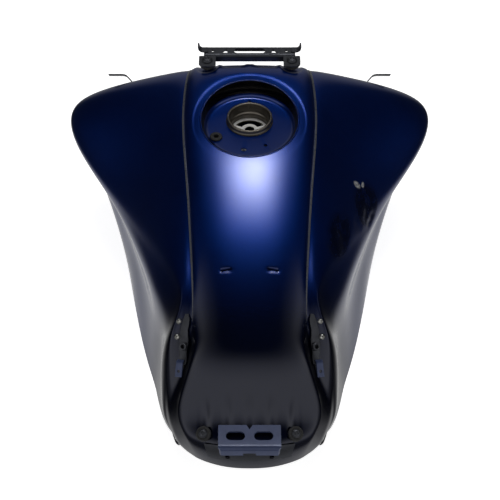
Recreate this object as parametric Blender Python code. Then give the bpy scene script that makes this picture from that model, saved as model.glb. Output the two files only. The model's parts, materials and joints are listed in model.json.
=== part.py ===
"""Motorcycle fuel tank: a pressed-steel tank with its filler recess, mounting brackets and fuel pump unit.

Frame: metres, +X to the rider's right, +Y to the front of the tank, +Z up, base resting on z = 0.
The dimensions below are in millimetres. A row of the skin is one section from the centre line out to the rim.
"""

import math

import bmesh
import bpy
import numpy as np

MM = 0.001
GAP = 0.3
SHEET = 1.6

FILLER_Y = 120.0
FLOOR_Z = 220.0
RECESS_R = 60.0
NECK_Y = 129.0
NECK_HOLE_R = 26.4
GROOVE_WIDTH = 5.5
PUMP_Y = -148.0
PUMP_HOLE_R = 47.0
PATCH_LOW = 1.4
PATCH_HIGH = 2.8
CENTRE_Y = 6.5

# centre (y, z), spine edge, crease, knee, rim (x, y, z), groove depth, pocket depth, bulge, crease radius
SKIN_ROWS = [
    ((200, 112), (58, 206, 104), (124, 230, 50), (146, 226, 22), (152, 214, 0), 0, 0, 4, 8),
    ((212, 138), (62, 218, 132), (170, 250, 80), (172, 236, 42), (162, 202, 0), 0, 0, 6, 12),
    ((224, 177), (66, 232, 172), (214, 267, 112), (196, 234, 62), (167, 186, 0), 1, 0, 8, 20),
    ((232, 214), (69, 237, 207), (241, 267, 139), (204, 220, 76), (168, 166, 0), 4, 0, 8, 22),
    ((219, 243), (71, 221, 235), (250, 239, 152), (204, 196, 84), (167, 140, 0), 5, 0, 8, 20),
    ((184, 245), (76, 186, 237), (242, 200, 144), (191, 168, 84), (163, 104, 0), 5, 0, 8, 16),
    ((136, 238), (79, 136, 229), (213, 152, 130), (167, 130, 76), (155, 65, 0), 5, 0, 7, 12),
    ((92, 231), (77, 92, 220), (175, 102, 123), (148, 84, 70), (147, 22, 0), 5, 0, 6, 10),
    ((48, 220), (73, 48, 209), (147, 52, 129), (130, 38, 68), (138, -22, 0), 5, 0, 5, 10),
    ((4, 207), (69, 4, 196), (123, 2, 140), (116, -8, 74), (130, -56, 0), 5, 0, 4, 10),
    ((-40, 192), (65, -40, 181), (100, -46, 153), (106, -54, 80), (122, -84, 0), 5, 0, 3, 9),
    ((-80, 175), (61, -80, 164), (77, -86, 158), (98, -86, 76), (115, -106, 0), 4, 1, 1, 6),
    ((-110, 160), (59, -108, 149), (80, -108, 146), (96, -108, 66), (111, -125, 2), 3, 3, 0, 5),
    ((-140, 145), (60, -136, 134), (91, -128, 132), (97, -124, 56), (107, -142, 6), 4, 10, 0, 5),
    ((-166, 132), (66, -160, 121), (94, -148, 108), (98, -140, 48), (103, -158, 11), 4, 12, 0, 5),
    ((-188, 108), (75, -180, 98), (95, -166, 84), (98, -156, 42), (99, -170, 16), 2, 6, 0, 5),
    ((-205, 88), (79, -197, 82), (96, -180, 63), (97, -172, 38), (95, -181, 21), 0, 1, 0, 5),
    ((-217, 76), (77, -209, 72), (94, -192, 52), (94, -184, 36), (90, -190, 25), 0, 0, 0, 4),
    ((-229, 71), (72, -219, 67), (89, -203, 46), (88, -194, 36), (86, -197, 28), 0, 0, 0, 4),
    ((-240, 66), (66, -229, 61), (85, -211, 42), (84, -204, 35), (84, -206, 29), 0, 0, 0, 4),
    ((-246, 50), (60, -233, 48), (80, -217, 38), (82, -210, 34), (82, -210, 30), 0, 0, 0, 3),
    ((-245, 33), (58, -232, 33), (72, -221, 33), (77, -215, 32), (80, -210, 30), 0, 0, 0, 3),
]
# how far the side wall swells outwards in each row, in which direction, and with what share from crease to rim
SIDE_SWELL = [0, 0, 0, 0, 0, 0, 0.5, 2.5, 6, 8, 9, 8, 7, 6, 5, 4, 3, 2, 1, 0, 0, 0]
SIDE_WAY = [0.90, -0.36, 0.25]
SIDE_SHARE = [1.6, 0.8, 0.3, -0.1]
# where the skin is divided across and along
SKIN_ACROSS = [0, 0.12, 0.21, 0.26, 0.3, 0.34, 0.385, 0.45, 0.53, 0.59, 0.63, 0.69, 0.79, 0.9, 1]
SKIN_ALONG = 32
PAN_ALONG = 20

# rim, foot, wall, shoulder and centre of the pan, one row from front to rear
PAN_ROWS = [
    ((152, 214, 0), (140, 226, 20), (112, 228, 56), (58, 206, 104), (0, 200, 112)),
    ((167, 186, 0), (122, 190, 0), (84, 190, 44), (52, 190, 98), (0, 190, 110)),
    ((163, 104, 0), (112, 104, 0), (66, 104, 44), (48, 104, 92), (0, 104, 104)),
    ((147, 22, 0), (102, 22, 0), (62, 22, 36), (46, 22, 76), (0, 22, 88)),
    ((130, -56, 0), (98, -56, 2), (66, -56, 22), (48, -56, 42), (0, -56, 50)),
    ((113, -112, 1), (90, -108, 8), (68, -106, 15), (46, -102, 19), (0, -98, 19)),
    ((103, -158, 11), (84, -154, 13), (64, -150, 17), (40, -148, 18), (0, -148, 18)),
    ((91, -189, 25), (76, -188, 18), (58, -192, 18), (36, -196, 18), (0, -198, 18)),
    ((80, -210, 30), (74, -219, 32), (60, -232, 33), (34, -242, 33), (0, -245, 33)),
]


def unit(vector):
    return vector / np.linalg.norm(vector)


def skin_net():
    net = []
    for centre, edge, crease, knee, rim, depth, floor, bulge, radius in SKIN_ROWS:
        c = np.array([0.0, *centre])
        e, k, n, r = (np.array(p, float) for p in (edge, crease, knee, rim))
        inner = np.array([0.34 * e[0], c[1], c[2]])
        outer = np.array([0.72 * e[0], c[1] + 0.42 * (e[1] - c[1]), c[2] + 0.34 * (e[2] - c[2])])
        span = np.linalg.norm(k - e)
        across = (k - e) / span
        normal = unit(np.cross(across, [0, -1, 0]))
        normal = normal if normal[2] > 0 else -normal
        near = min(GROOVE_WIDTH, 0.3 * span)
        far = min(2 * GROOVE_WIDTH, 0.55 * span)
        valley = e + across * near - normal * max(depth, 0.7 * floor)
        shoulder = e + across * far - normal * floor
        wing = e + across * (far + span) / 2 + normal * (bulge - floor)
        above = k + unit(wing - k) * min(radius, 0.4 * np.linalg.norm(wing - k))
        below = k + unit(n - k) * min(radius, 0.4 * np.linalg.norm(n - k))
        side = [(k + n) / 2, n, (n + r) / 2, r]
        net.append([c, inner, outer, e, valley, shoulder, wing, above, below, *side])
    net = np.array(net)
    net[:, 9:] += np.array(SIDE_SWELL)[:, None, None] * np.array(SIDE_SHARE)[:, None] * SIDE_WAY
    net[:, 12, 2] = [row[4][2] for row in SKIN_ROWS]
    return net


def spline_weights(count, samples):
    """Weights of a clamped uniform cubic B-spline, one row for each sample in 0..1."""
    degree = 3
    knots = np.concatenate([[0] * degree, np.linspace(0, 1, count - degree + 1), [1] * degree])
    t = np.clip(np.asarray(samples, float), 0, 1 - 1e-9)
    weights = ((t[:, None] >= knots[None, :-1]) & (t[:, None] < knots[None, 1:])).astype(float)
    for d in range(1, degree + 1):
        raised = np.zeros((len(t), weights.shape[1] - 1))
        for i in range(raised.shape[1]):
            left = knots[i + d] - knots[i]
            right = knots[i + d + 1] - knots[i + 1]
            if left > 0:
                raised[:, i] += (t - knots[i]) / left * weights[:, i]
            if right > 0:
                raised[:, i] += (knots[i + d + 1] - t) / right * weights[:, i + 1]
        weights = raised
    return weights


def spline_grid(net, along, across):
    rows, columns = spline_weights(len(net), along), spline_weights(len(net[0]), across)
    return np.einsum("ai,bj,ijk->abk", rows, columns, net)


def mirrored(grid):
    """The whole width, from the left rim over the centre line to the right rim."""
    left = grid[:, :0:-1] * np.array([-1, 1, 1])
    return np.concatenate([left, grid], axis=1)


def offset_grid(grid, distance):
    """The grid moved along its normals, the first one pointing up and out."""
    along = np.gradient(grid, axis=0)
    across = np.gradient(grid, axis=1)
    normals = np.cross(along, across)
    normals /= np.linalg.norm(normals, axis=2, keepdims=True)
    middle = normals[len(normals) // 2, normals.shape[1] // 2]
    normals = normals if middle[2] > 0 else -normals
    return grid + normals * distance, normals


def finish(obj, look, smooth=40):
    obj.data.materials.clear()
    obj.data.materials.append(look)
    obj.data.shade_smooth()
    obj.data.set_sharp_from_angle(angle=math.radians(smooth))
    return obj


def material(name, colour, roughness, metallic):
    made = bpy.data.materials.new(name)
    made.use_nodes = True
    shader = made.node_tree.nodes["Principled BSDF"]
    shader.inputs["Base Color"].default_value = (*colour, 1)
    shader.inputs["Roughness"].default_value = roughness
    shader.inputs["Metallic"].default_value = metallic
    made.diffuse_color = (*colour, 1)
    made.roughness = roughness
    made.metallic = metallic
    return made


def object_of(name, points, faces, look, smooth=40):
    mesh = bpy.data.meshes.new(name)
    mesh.from_pydata([tuple(float(v) * MM for v in p) for p in points], [], [tuple(f) for f in faces])
    mesh.validate()
    work = bmesh.new()
    work.from_mesh(mesh)
    bmesh.ops.recalc_face_normals(work, faces=work.faces)
    if work.calc_volume(signed=True) < 0:
        bmesh.ops.reverse_faces(work, faces=work.faces)
    work.to_mesh(mesh)
    work.free()
    obj = bpy.data.objects.new(name, mesh)
    bpy.context.scene.collection.objects.link(obj)
    return finish(obj, look, smooth)


def sheet_of(name, top, bottom, look, smooth=40):
    """A closed solid between two grids of the same size."""
    rows, cols = top.shape[:2]
    count = rows * cols
    points = np.concatenate([top.reshape(-1, 3), bottom.reshape(-1, 3)])
    faces = []
    for i in range(rows - 1):
        for j in range(cols - 1):
            a, b = i * cols + j, (i + 1) * cols + j
            faces.append((a, a + 1, b + 1, b))
            faces.append((count + a, count + b, count + b + 1, count + a + 1))
    edge = [j for j in range(cols)]
    edge += [i * cols + cols - 1 for i in range(1, rows)]
    edge += [(rows - 1) * cols + j for j in range(cols - 2, -1, -1)]
    edge += [i * cols for i in range(rows - 2, 0, -1)]
    for a, b in zip(edge, edge[1:] + edge[:1]):
        faces.append((a, count + a, count + b, b))
    return object_of(name, points, faces, look, smooth)


def lathe(name, profile, centre, look, steps=32, axis="Z", smooth=40):
    """A closed profile of (radius, height) turned about an axis through the centre."""
    points, faces = [], []
    for i in range(steps):
        angle = 2 * math.pi * i / steps
        for radius, height in profile:
            u, v = radius * math.cos(angle), radius * math.sin(angle)
            turned = {"Z": (u, v, height), "Y": (u, height, v), "X": (height, u, v)}[axis]
            points.append([a + b for a, b in zip(turned, centre)])
    count = len(profile)
    closed = profile[0][0] > 0
    for i in range(steps):
        j = (i + 1) % steps
        for k in range(count if closed else count - 1):
            m = (k + 1) % count
            faces.append((i * count + k, j * count + k, j * count + m, i * count + m))
    mesh_obj = object_of(name, points, faces, look, smooth)
    if not closed:
        work = bmesh.new()
        work.from_mesh(mesh_obj.data)
        bmesh.ops.remove_doubles(work, verts=work.verts, dist=1e-6)
        bmesh.ops.dissolve_degenerate(work, edges=work.edges, dist=1e-7)
        bmesh.ops.recalc_face_normals(work, faces=work.faces)
        if work.calc_volume(signed=True) < 0:
            bmesh.ops.reverse_faces(work, faces=work.faces)
        work.to_mesh(mesh_obj.data)
        work.free()
    return mesh_obj


def disc(name, radius, low, high, centre, look, steps=32, axis="Z", edge=0.5):
    profile = [(0, low), (radius - edge, low), (radius, low + edge)]
    profile += [(radius, high - edge), (radius - edge, high), (0, high)]
    return lathe(name, profile, centre, look, steps, axis)


def tube(name, outer, inner, low, high, centre, look, steps=32, axis="Z", edge=0.4):
    profile = [(inner, low), (outer - edge, low), (outer, low + edge)]
    profile += [(outer, high - edge), (outer - edge, high), (inner, high)]
    return lathe(name, profile, centre, look, steps, axis)


def outline_solid(outline, holes, low, high):
    """(points, faces) of a flat plate with holes, between two heights."""
    work = bmesh.new()
    for loop in [outline] + holes:
        ring = [work.verts.new((x, y, 0)) for x, y in loop]
        for a, b in zip(ring, ring[1:] + ring[:1]):
            work.edges.new((a, b))
    bmesh.ops.triangle_fill(work, use_beauty=True, use_dissolve=False, edges=work.edges[:])
    work.verts.index_update()
    flat = [(v.co.x, v.co.y) for v in work.verts]
    tris = [[v.index for v in f.verts] for f in work.faces]
    rims = [[v.index for v in e.verts] for e in work.edges if len(e.link_faces) == 1]
    work.free()
    count = len(flat)
    points = [(x, y, high) for x, y in flat] + [(x, y, low) for x, y in flat]
    faces = [tuple(t) for t in tris] + [tuple(i + count for i in reversed(t)) for t in tris]
    faces += [(a, b, b + count, a + count) for a, b in rims]
    return points, faces


def rounded(width, depth, radius, centre=(0, 0), steps=4):
    corners = []
    for sx, sy, start in ((1, 1, 0), (-1, 1, 90), (-1, -1, 180), (1, -1, 270)):
        cx, cy = centre[0] + sx * (width / 2 - radius), centre[1] + sy * (depth / 2 - radius)
        for i in range(steps + 1):
            a = math.radians(start + 90 * i / steps)
            corners.append((cx + radius * math.cos(a), cy + radius * math.sin(a)))
    return corners


def circle(radius, centre=(0, 0), steps=16):
    turn = [2 * math.pi * i / steps for i in range(steps)]
    return [(centre[0] + radius * math.cos(a), centre[1] + radius * math.sin(a)) for a in turn]


def plate(name, outline, holes, low, high, origin, look, tilt=(0, 0, 0)):
    """A flat plate with holes, tilted about its own origin and moved to its place."""
    points, faces = outline_solid(outline, holes, low, high)
    rotation = rotation_of(tilt)
    placed = [rotation @ np.array(p, float) + np.array(origin, float) for p in points]
    return object_of(name, placed, faces, look, 30)


def rotation_of(degrees):
    a, b, c = (math.radians(d) for d in degrees)
    rx = np.array([[1, 0, 0], [0, math.cos(a), -math.sin(a)], [0, math.sin(a), math.cos(a)]])
    ry = np.array([[math.cos(b), 0, math.sin(b)], [0, 1, 0], [-math.sin(b), 0, math.cos(b)]])
    rz = np.array([[math.cos(c), -math.sin(c), 0], [math.sin(c), math.cos(c), 0], [0, 0, 1]])
    return rz @ ry @ rx


def strip(name, path, width, thick, across, look):
    """A bent strip: a path of points, the width along `across`, the thickness at right angles to both."""
    path = [np.array(p, float) for p in path]
    across = unit(np.array(across, float))
    rows_top, rows_low = [], []
    for i, p in enumerate(path):
        before = unit(p - path[i - 1]) if i else unit(path[1] - p)
        after = unit(path[i + 1] - p) if i + 1 < len(path) else before
        along = unit(before + after)
        normal = unit(np.cross(along, across))
        reach = thick / 2 / max(0.5, abs(np.dot(unit(np.cross(before, across)), normal)))
        edges = np.array([p + across * width / 2, p - across * width / 2])
        rows_top.append(edges + normal * reach)
        rows_low.append(edges - normal * reach)
    return sheet_of(name, np.array(rows_top), np.array(rows_low), look, 30)


def pipe(name, path, outer, inner, look, steps=12, solid=False):
    """A tube along a path, hollow unless solid."""
    path = [np.array(p, float) for p in path]
    side = None
    rings = []
    for i, p in enumerate(path):
        before = unit(p - path[i - 1]) if i else unit(path[1] - p)
        after = unit(path[i + 1] - p) if i + 1 < len(path) else before
        along = unit(before + after)
        if side is None:
            side = unit(np.cross(along, [0.3, 0.5, 0.81]))
        side = unit(side - along * np.dot(side, along))
        other = np.cross(along, side)
        rings.append((p, side, other))
    points, faces = [], []
    for radius in (outer,) if solid else (outer, inner):
        for p, u, v in rings:
            for j in range(steps):
                a = 2 * math.pi * j / steps
                points.append(p + radius * (u * math.cos(a) + v * math.sin(a)))
    rows = len(path)
    for layer in range(1 if solid else 2):
        base = layer * rows * steps
        for i in range(rows - 1):
            for j in range(steps):
                k = (j + 1) % steps
                near, far = base + i * steps, base + (i + 1) * steps
                faces.append((near + j, near + k, far + k, far + j))
    last = (rows - 1) * steps
    if solid:
        faces.append(tuple(range(steps)))
        faces.append(tuple(last + j for j in range(steps)))
    else:
        base = rows * steps
        for j in range(steps):
            k = (j + 1) % steps
            faces.append((j, k, base + k, base + j))
            faces.append((last + j, last + k, base + last + k, base + last + j))
    return object_of(name, points, faces, look)


def cut(obj, name, cutters):
    """Cuts all the cutters from the object in one Boolean."""
    joined = bmesh.new()
    for cutter in cutters:
        joined.from_mesh(cutter.data)
        bpy.data.objects.remove(cutter)
    mesh = bpy.data.meshes.new(name)
    joined.to_mesh(mesh)
    joined.free()
    tool = bpy.data.objects.new(name, mesh)
    bpy.context.scene.collection.objects.link(tool)
    tool.hide_render = True
    tool.display_type = "WIRE"
    modifier = obj.modifiers.new("openings", "BOOLEAN")
    modifier.operation = "DIFFERENCE"
    modifier.solver = "EXACT"
    modifier.object = tool


def hexagon(name, across_flats, low, high, centre, look, axis="Z"):
    radius = across_flats / 2 / math.cos(math.pi / 6)
    return disc(name, radius, low, high, centre, look, steps=6, axis=axis, edge=0.4)


for stale in list(bpy.data.objects):
    bpy.data.objects.remove(stale)

PAINT = material("tank_paint", (0.012, 0.030, 0.135), 0.30, 0.6)
BARE = material("bare_steel", (0.56, 0.56, 0.55), 0.35, 1.0)
BLACKED = material("blacked_steel", (0.045, 0.047, 0.055), 0.45, 0.8)
BRACKET = material("bracket_paint", (0.030, 0.045, 0.13), 0.42, 0.5)
PLATED = material("plated_steel", (0.50, 0.50, 0.48), 0.30, 1.0)
RUBBER = material("black_rubber", (0.012, 0.012, 0.013), 0.75, 0.0)
PLASTIC = material("pump_plastic", (0.030, 0.030, 0.032), 0.50, 0.0)
PALE = material("pale_plastic", (0.62, 0.60, 0.54), 0.45, 0.0)
CAST = material("pump_case", (0.45, 0.46, 0.47), 0.40, 0.9)

# --- the skin -----------------------------------------------------------------------------------------------
NET = skin_net()
half = spline_grid(NET, np.linspace(0, 1, SKIN_ALONG), SKIN_ACROSS)
half[:, 0, 0] = 0
outside = mirrored(half)
inside, _ = offset_grid(outside, -SHEET)
inside[:, :, 2] = np.maximum(inside[:, :, 2], outside[:, :, 2].min())
outer_shell = sheet_of("outer_shell", outside, inside, PAINT, 32)

fine_half = spline_grid(NET, np.linspace(0, 1, 320), np.linspace(0, 1, 240))
FINE, FINE_NORMALS = offset_grid(mirrored(fine_half), 0)
FINE_FLAT = FINE.reshape(-1, 3)
NORMAL_FLAT = FINE_NORMALS.reshape(-1, 3)


def on_skin(x, y, low=0.0):
    """The highest skin point over (x, y), and its normal."""
    near = np.hypot(FINE_FLAT[:, 0] - x, FINE_FLAT[:, 1] - y) < 1.6
    near &= FINE_FLAT[:, 2] > low
    best = np.flatnonzero(near)[np.argmax(FINE_FLAT[near][:, 2])]
    return FINE_FLAT[best], NORMAL_FLAT[best]


def skin_height(x, y):
    """Height of the crown of the spine, from a smooth fit about the filler."""
    return float(np.dot(CROWN, [1, x * x, y, y * y, x * x * y]))


around = FINE_FLAT[np.hypot(FINE_FLAT[:, 0], FINE_FLAT[:, 1] - FILLER_Y) < 68]
around = around[around[:, 2] > 180]
square = around[:, 0] ** 2
terms = [np.ones(len(around)), square, around[:, 1], around[:, 1] ** 2, square * around[:, 1]]
CROWN = np.linalg.lstsq(np.stack(terms, 1), around[:, 2], rcond=None)[0]

SLIT_X, SLIT_Y = 27.0, -75.0
SLIT_LENGTH, SLIT_WIDTH = 13.0, 2.6
SLOT_LENGTH, SLOT_WIDTH = 66.0, 2.6
SLOT_ENDS = ((112.0, 236.0), (176.0, 246.0))
openings = [disc("filler_hole", RECESS_R, 150, 300, (0, FILLER_Y, 0), PAINT, 40)]
for side in (-1, 1):
    spot, _ = on_skin(side * SLIT_X, SLIT_Y)
    outline = rounded(SLIT_LENGTH, SLIT_WIDTH, 0.46 * SLIT_WIDTH)
    openings.append(plate("spine_slit", outline, [], -12, 12, spot, PAINT, (12, 0, side * -3)))
    first, last = (on_skin(side * x, y)[0] for x, y in SLOT_ENDS)
    middle = (first + last) / 2
    lie = unit(last - first)
    turn = math.degrees(math.atan2(lie[1], lie[0]))
    drop = math.degrees(math.asin(-lie[2]))
    outline = rounded(SLOT_LENGTH, SLOT_WIDTH, 0.46 * SLOT_WIDTH)
    openings.append(plate("wing_slot", outline, [], -14, 16, middle, PAINT, (0, drop, turn)))
cut(outer_shell, "shell_openings", openings)

# --- the filler recess --------------------------------------------------------------------------------------
CUP_STEPS = 40
cup_rows = []
for i in range(CUP_STEPS):
    angle = 2 * math.pi * i / CUP_STEPS
    x, y = math.cos(angle), math.sin(angle)
    lip = skin_height(59 * x, FILLER_Y + 59 * y)
    profile = [(27, FLOOR_Z), (53.5, FLOOR_Z), (55.5, FLOOR_Z + 2), (58.0, lip - 1.5)]
    profile += [(58.6, lip + 0.6), (59.6, lip + 0.2), (59.6, lip - 1.2), (59.2, lip - 3.0)]
    profile += [(57.1, FLOOR_Z + 1.6), (54, FLOOR_Z - SHEET), (27, FLOOR_Z - SHEET)]
    cup_rows.append([(r * x, FILLER_Y + r * y, z) for r, z in profile])
cup = np.array(cup_rows)
size = cup.shape[1]
cup_faces = []
for i in range(CUP_STEPS):
    j = (i + 1) % CUP_STEPS
    for k in range(size):
        m = (k + 1) % size
        cup_faces.append((i * size + k, j * size + k, j * size + m, i * size + m))
for i in range(CUP_STEPS):
    for k in (0, size - 1):
        cup[i, k, 0] = NECK_HOLE_R * math.cos(2 * math.pi * i / CUP_STEPS)
        cup[i, k, 1] = NECK_Y + NECK_HOLE_R * math.sin(2 * math.pi * i / CUP_STEPS)
filler_cup = object_of("filler_cup", cup.reshape(-1, 3), cup_faces, PAINT, 32)
DRAIN, BREATHER = (-40.0, 99.0), (19.0, 85.0)
SCREWS = {"front": (0.0, 164.5), "rear": (-6.7, 77.5)}
cut(
    filler_cup,
    "cup_openings",
    [
        disc("drain_hole", 5.6, 210, 226, (*DRAIN, 0), PAINT, 16),
        disc("breather_hole", 2.2, 210, 226, (*BREATHER, 0), PAINT, 12),
        disc("front_screw_hole", 2.4, 210, 226, (*SCREWS["front"], 0), PAINT, 12),
        disc("rear_screw_hole", 3.2, 210, 226, (*SCREWS["rear"], 0), PAINT, 12),
    ],
)
for where, (x, y) in SCREWS.items():
    nut = hexagon(f"cap_nut_{where}", 9, 213.2, FLOOR_Z - SHEET - GAP, (x, y, 0), PLATED)
    cut(nut, f"cap_nut_{where}_thread", [disc("thread", 2.0, 208, 225, (x, y, 0), PLATED, 12)])

neck = [(24.2, 226.2), (25.0, 227.0), (26.6, 227.0), (27.5, 226.0), (27.5, 224.6), (26.4, 223.8)]
neck += [(26.4, 222.2), (27.2, 221.0), (28.6, 220.3), (26.0, 220.3), (26.0, 204), (25.2, 202.4)]
neck += [(19.0, 202.4), (19.0, 203.8), (22.6, 204.6), (22.6, 212), (24.2, 214)]
lathe("filler_neck", neck, (0, NECK_Y, 0), BARE, 32)
kidneys = []
for middle in (90, 270):
    ring = [math.radians(middle + a) for a in (-48, -24, 0, 24, 48)]
    kidney = [(17.5 * math.cos(a), 17.5 * math.sin(a)) for a in ring]
    kidney += [(10.5 * math.cos(a), 10.5 * math.sin(a)) for a in reversed(ring)]
    kidneys.append(kidney)
baffle_holes = [circle(5.8), *kidneys]
plate("neck_baffle", circle(22.2, steps=24), baffle_holes, 0, 1.2, (0, NECK_Y, 205.0), PLATED)

lathe(
    "drain_grommet",
    [(3.2, 214), (5.2, 214), (5.2, 220.4), (7.6, 220.4), (7.2, 222.2), (5.6, 222.8), (3.2, 222.6)],
    (*DRAIN, 0),
    RUBBER,
    20,
)
tube("drain_pipe", 4.6, 3.4, 60, 213.6, (*DRAIN, 0), PLATED, 14)
tube("breather_pipe", 3.4, 2.3, 80, FLOOR_Z - SHEET - GAP, (*BREATHER, 0), PLATED, 14)

# --- the pan ------------------------------------------------------------------------------------------------
pan_net = np.array([[np.array(p, float) for p in row[::-1]] for row in PAN_ROWS])
pan_half = spline_grid(pan_net, np.linspace(0, 1, PAN_ALONG), np.linspace(0, 1, 10))
pan_half[:, 0, 0] = 0
rim_fine = fine_half[:, -1]
picked = np.linspace(0, 1, PAN_ALONG) * (len(rim_fine) - 1)
pan_top = mirrored(pan_half)
for i, spot in enumerate(picked):
    target = rim_fine[int(round(spot))]
    for side, column in ((1, -1), (-1, 0)):
        inward = np.array([side * (target[0] - 3.6), target[1], target[2] + 2.6])
        shift = inward - pan_top[i, column]
        for step in range(7):
            index = column - step if side == 1 else column + step
            pan_top[i, index] += shift * (1 - step / 7)
# Both ends of the pan stop short of the skin.
pan_top[:, :, 1] += np.where(pan_top[:, :, 1] > 195, -4.0, 0.0) + np.where(pan_top[:, :, 1] < -225, 4.0, 0.0)
pan_low, _ = offset_grid(pan_top, -SHEET)
pan_low[:, :, 2] = np.maximum(pan_low[:, :, 2], 0.8)
bottom_pan = sheet_of("bottom_pan", pan_top, pan_low, PAINT, 32)
cut(
    bottom_pan,
    "pan_openings",
    [
        disc("pump_hole", PUMP_HOLE_R + 3.3, -10, 40, (0, PUMP_Y, 0), PAINT, 40),
        disc("drain_pipe_hole", 5.0, 40, 140, (*DRAIN, 0), PAINT, 14),
        disc("breather_pipe_hole", 3.8, 60, 140, (*BREATHER, 0), PAINT, 14),
    ],
)


def posed(obj, spot, normal, lift=0.0, spin=0.0):
    """Turns an object built about the origin so that its Z axis lies along the normal at the spot."""
    z = unit(np.array(normal, float))
    x = unit(np.cross([0, 1, 0], z))
    y = np.cross(z, x)
    a = math.radians(spin)
    turned = np.stack([x * math.cos(a) + y * math.sin(a), -x * math.sin(a) + y * math.cos(a), z], 1)
    base = np.array(spot, float) + z * lift
    for vertex in obj.data.vertices:
        vertex.co = (turned @ (np.array(vertex.co) / MM) + base) * MM
    return obj


def join(obj, name, others):
    """Unites the others, which overlap the object, with it."""
    for index, other in enumerate(others):
        other.name = f"{name}_{index}"
        other.hide_render = True
        other.display_type = "WIRE"
        modifier = obj.modifiers.new(f"join{index}", "BOOLEAN")
        modifier.operation = "UNION"
        modifier.solver = "EXACT"
        modifier.object = other


def side_name(side):
    return "right" if side > 0 else "left"


def skin_patch(u_range, v_inner, v_outer, cols, whole=False):
    """Two grids that follow the skin between two lines across it, held just off it."""
    rows = len(v_inner)
    us = np.linspace(*u_range, rows)
    grid = []
    for i, u in enumerate(us):
        vs = np.linspace(v_inner[i], v_outer[i], cols)
        grid.append(spline_grid(NET, [u], vs)[0])
    grid = np.array(grid)
    if whole:
        grid[:, 0, 0] = 0
        grid = mirrored(grid)
    _, normals = offset_grid(grid, 0)
    centre = grid[rows // 2, grid.shape[1] // 2] - np.array([0, -60, 60.0])
    if np.dot(normals[rows // 2, grid.shape[1] // 2], centre) < 0:
        normals = -normals
    return grid + normals * PATCH_HIGH, grid + normals * PATCH_LOW


# --- the front stay -----------------------------------------------------------------------------------------
STAY_Y, STAY_Z, STAY_HALF = 222.0, 247.0, 57.0
DAMPER_X, DAMPER_Y = 52.5, 211.5
channel_path = [(0, STAY_Y, STAY_Z - 9), (0, STAY_Y, STAY_Z)]
channel_path += [(0, STAY_Y + 16, STAY_Z), (0, STAY_Y + 16, STAY_Z - 5.5)]
front_channel = strip("front_channel", channel_path, 2 * STAY_HALF, 2.0, (1, 0, 0), BLACKED)
web_cuts = [plate("web_slot", rounded(39, 9, 4.4), [], -4, 4, (0, STAY_Y + 8, STAY_Z), BLACKED)]
for side in (-1, 1):
    triangle = [(side * 27, -4), (side * 35, -4), (side * 29, 4)]
    triangle = triangle if side > 0 else triangle[::-1]
    web_cuts.append(plate("web_triangle", triangle, [], -4, 4, (0, STAY_Y + 8, STAY_Z), BLACKED))
    web_cuts.append(disc("web_hole", 2.1, -4, 4, (side * 46, STAY_Y + 8, STAY_Z), BLACKED, 12))
cut(front_channel, "channel_openings", web_cuts)
for side in (-1, 1):
    name = side_name(side)
    hook = [(side * x, STAY_Y + 8, STAY_Z + z) for x, z in ((52, 2.3), (60, 2.3), (63, 5), (63.6, 10))]
    strip(f"front_hook_{name}", hook, 9, 1.8, (0, 1, 0), BLACKED)
    leg_corners = ((-10.5, -11.5), (6.5, -11.5), (10.5, -7), (10.5, 9.2), (-10.5, 9.2))
    leg_outline = [(side * x, y) for x, y in leg_corners]
    leg_spot = (side * DAMPER_X, DAMPER_Y, STAY_Z - 1.7)
    plate(f"front_leg_{name}", leg_outline, [circle(3.2, steps=14)], 0, 2, leg_spot, BLACKED)
    under = ((0, 0), (9, 0), (-9, 0), (0, 8), (0, -8))
    seat = max(on_skin(side * DAMPER_X + x, DAMPER_Y + y)[0][2] for x, y in under) + GAP
    lathe(
        f"front_damper_{name}",
        [(3.3, seat), (8.6, seat), (9.4, seat + 0.8), (8.2, (seat + STAY_Z - 2) / 2)]
        + [(9.4, STAY_Z - 2.8), (8.6, STAY_Z - 2), (3.3, STAY_Z - 2)],
        (side * DAMPER_X, DAMPER_Y, 0),
        RUBBER,
        20,
    )
    lathe(
        f"front_bolt_{name}",
        [(0, seat + 0.4), (2.8, seat + 0.4), (2.8, STAY_Z + 0.6), (6.4, STAY_Z + 0.6)]
        + [(6.6, STAY_Z + 1.6), (4.6, STAY_Z + 3.8), (0, STAY_Z + 4.4)],
        (side * DAMPER_X, DAMPER_Y, 0),
        PLATED,
        16,
    )

# --- the tabs on the front of the wings ---------------------------------------------------------------------
TAB_ACROSS = (0, 0.682, -0.731)
for side in (-1, 1):
    root = on_skin(side * 150.0, 250.0)[0]
    start = root + np.array([side * 1.0, 2.6, 3.4])
    steps = [start, start + np.array([side * 3, 2, 4]), start + np.array([side * 9, 6.5, 8.5])]
    steps += [start + np.array([side * 13, 7, 9.5]), start + np.array([side * 32, 7, 9.5])]
    strip(f"side_tab_{side_name(side)}", steps, 13, 1.4, TAB_ACROSS, BLACKED)

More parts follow.
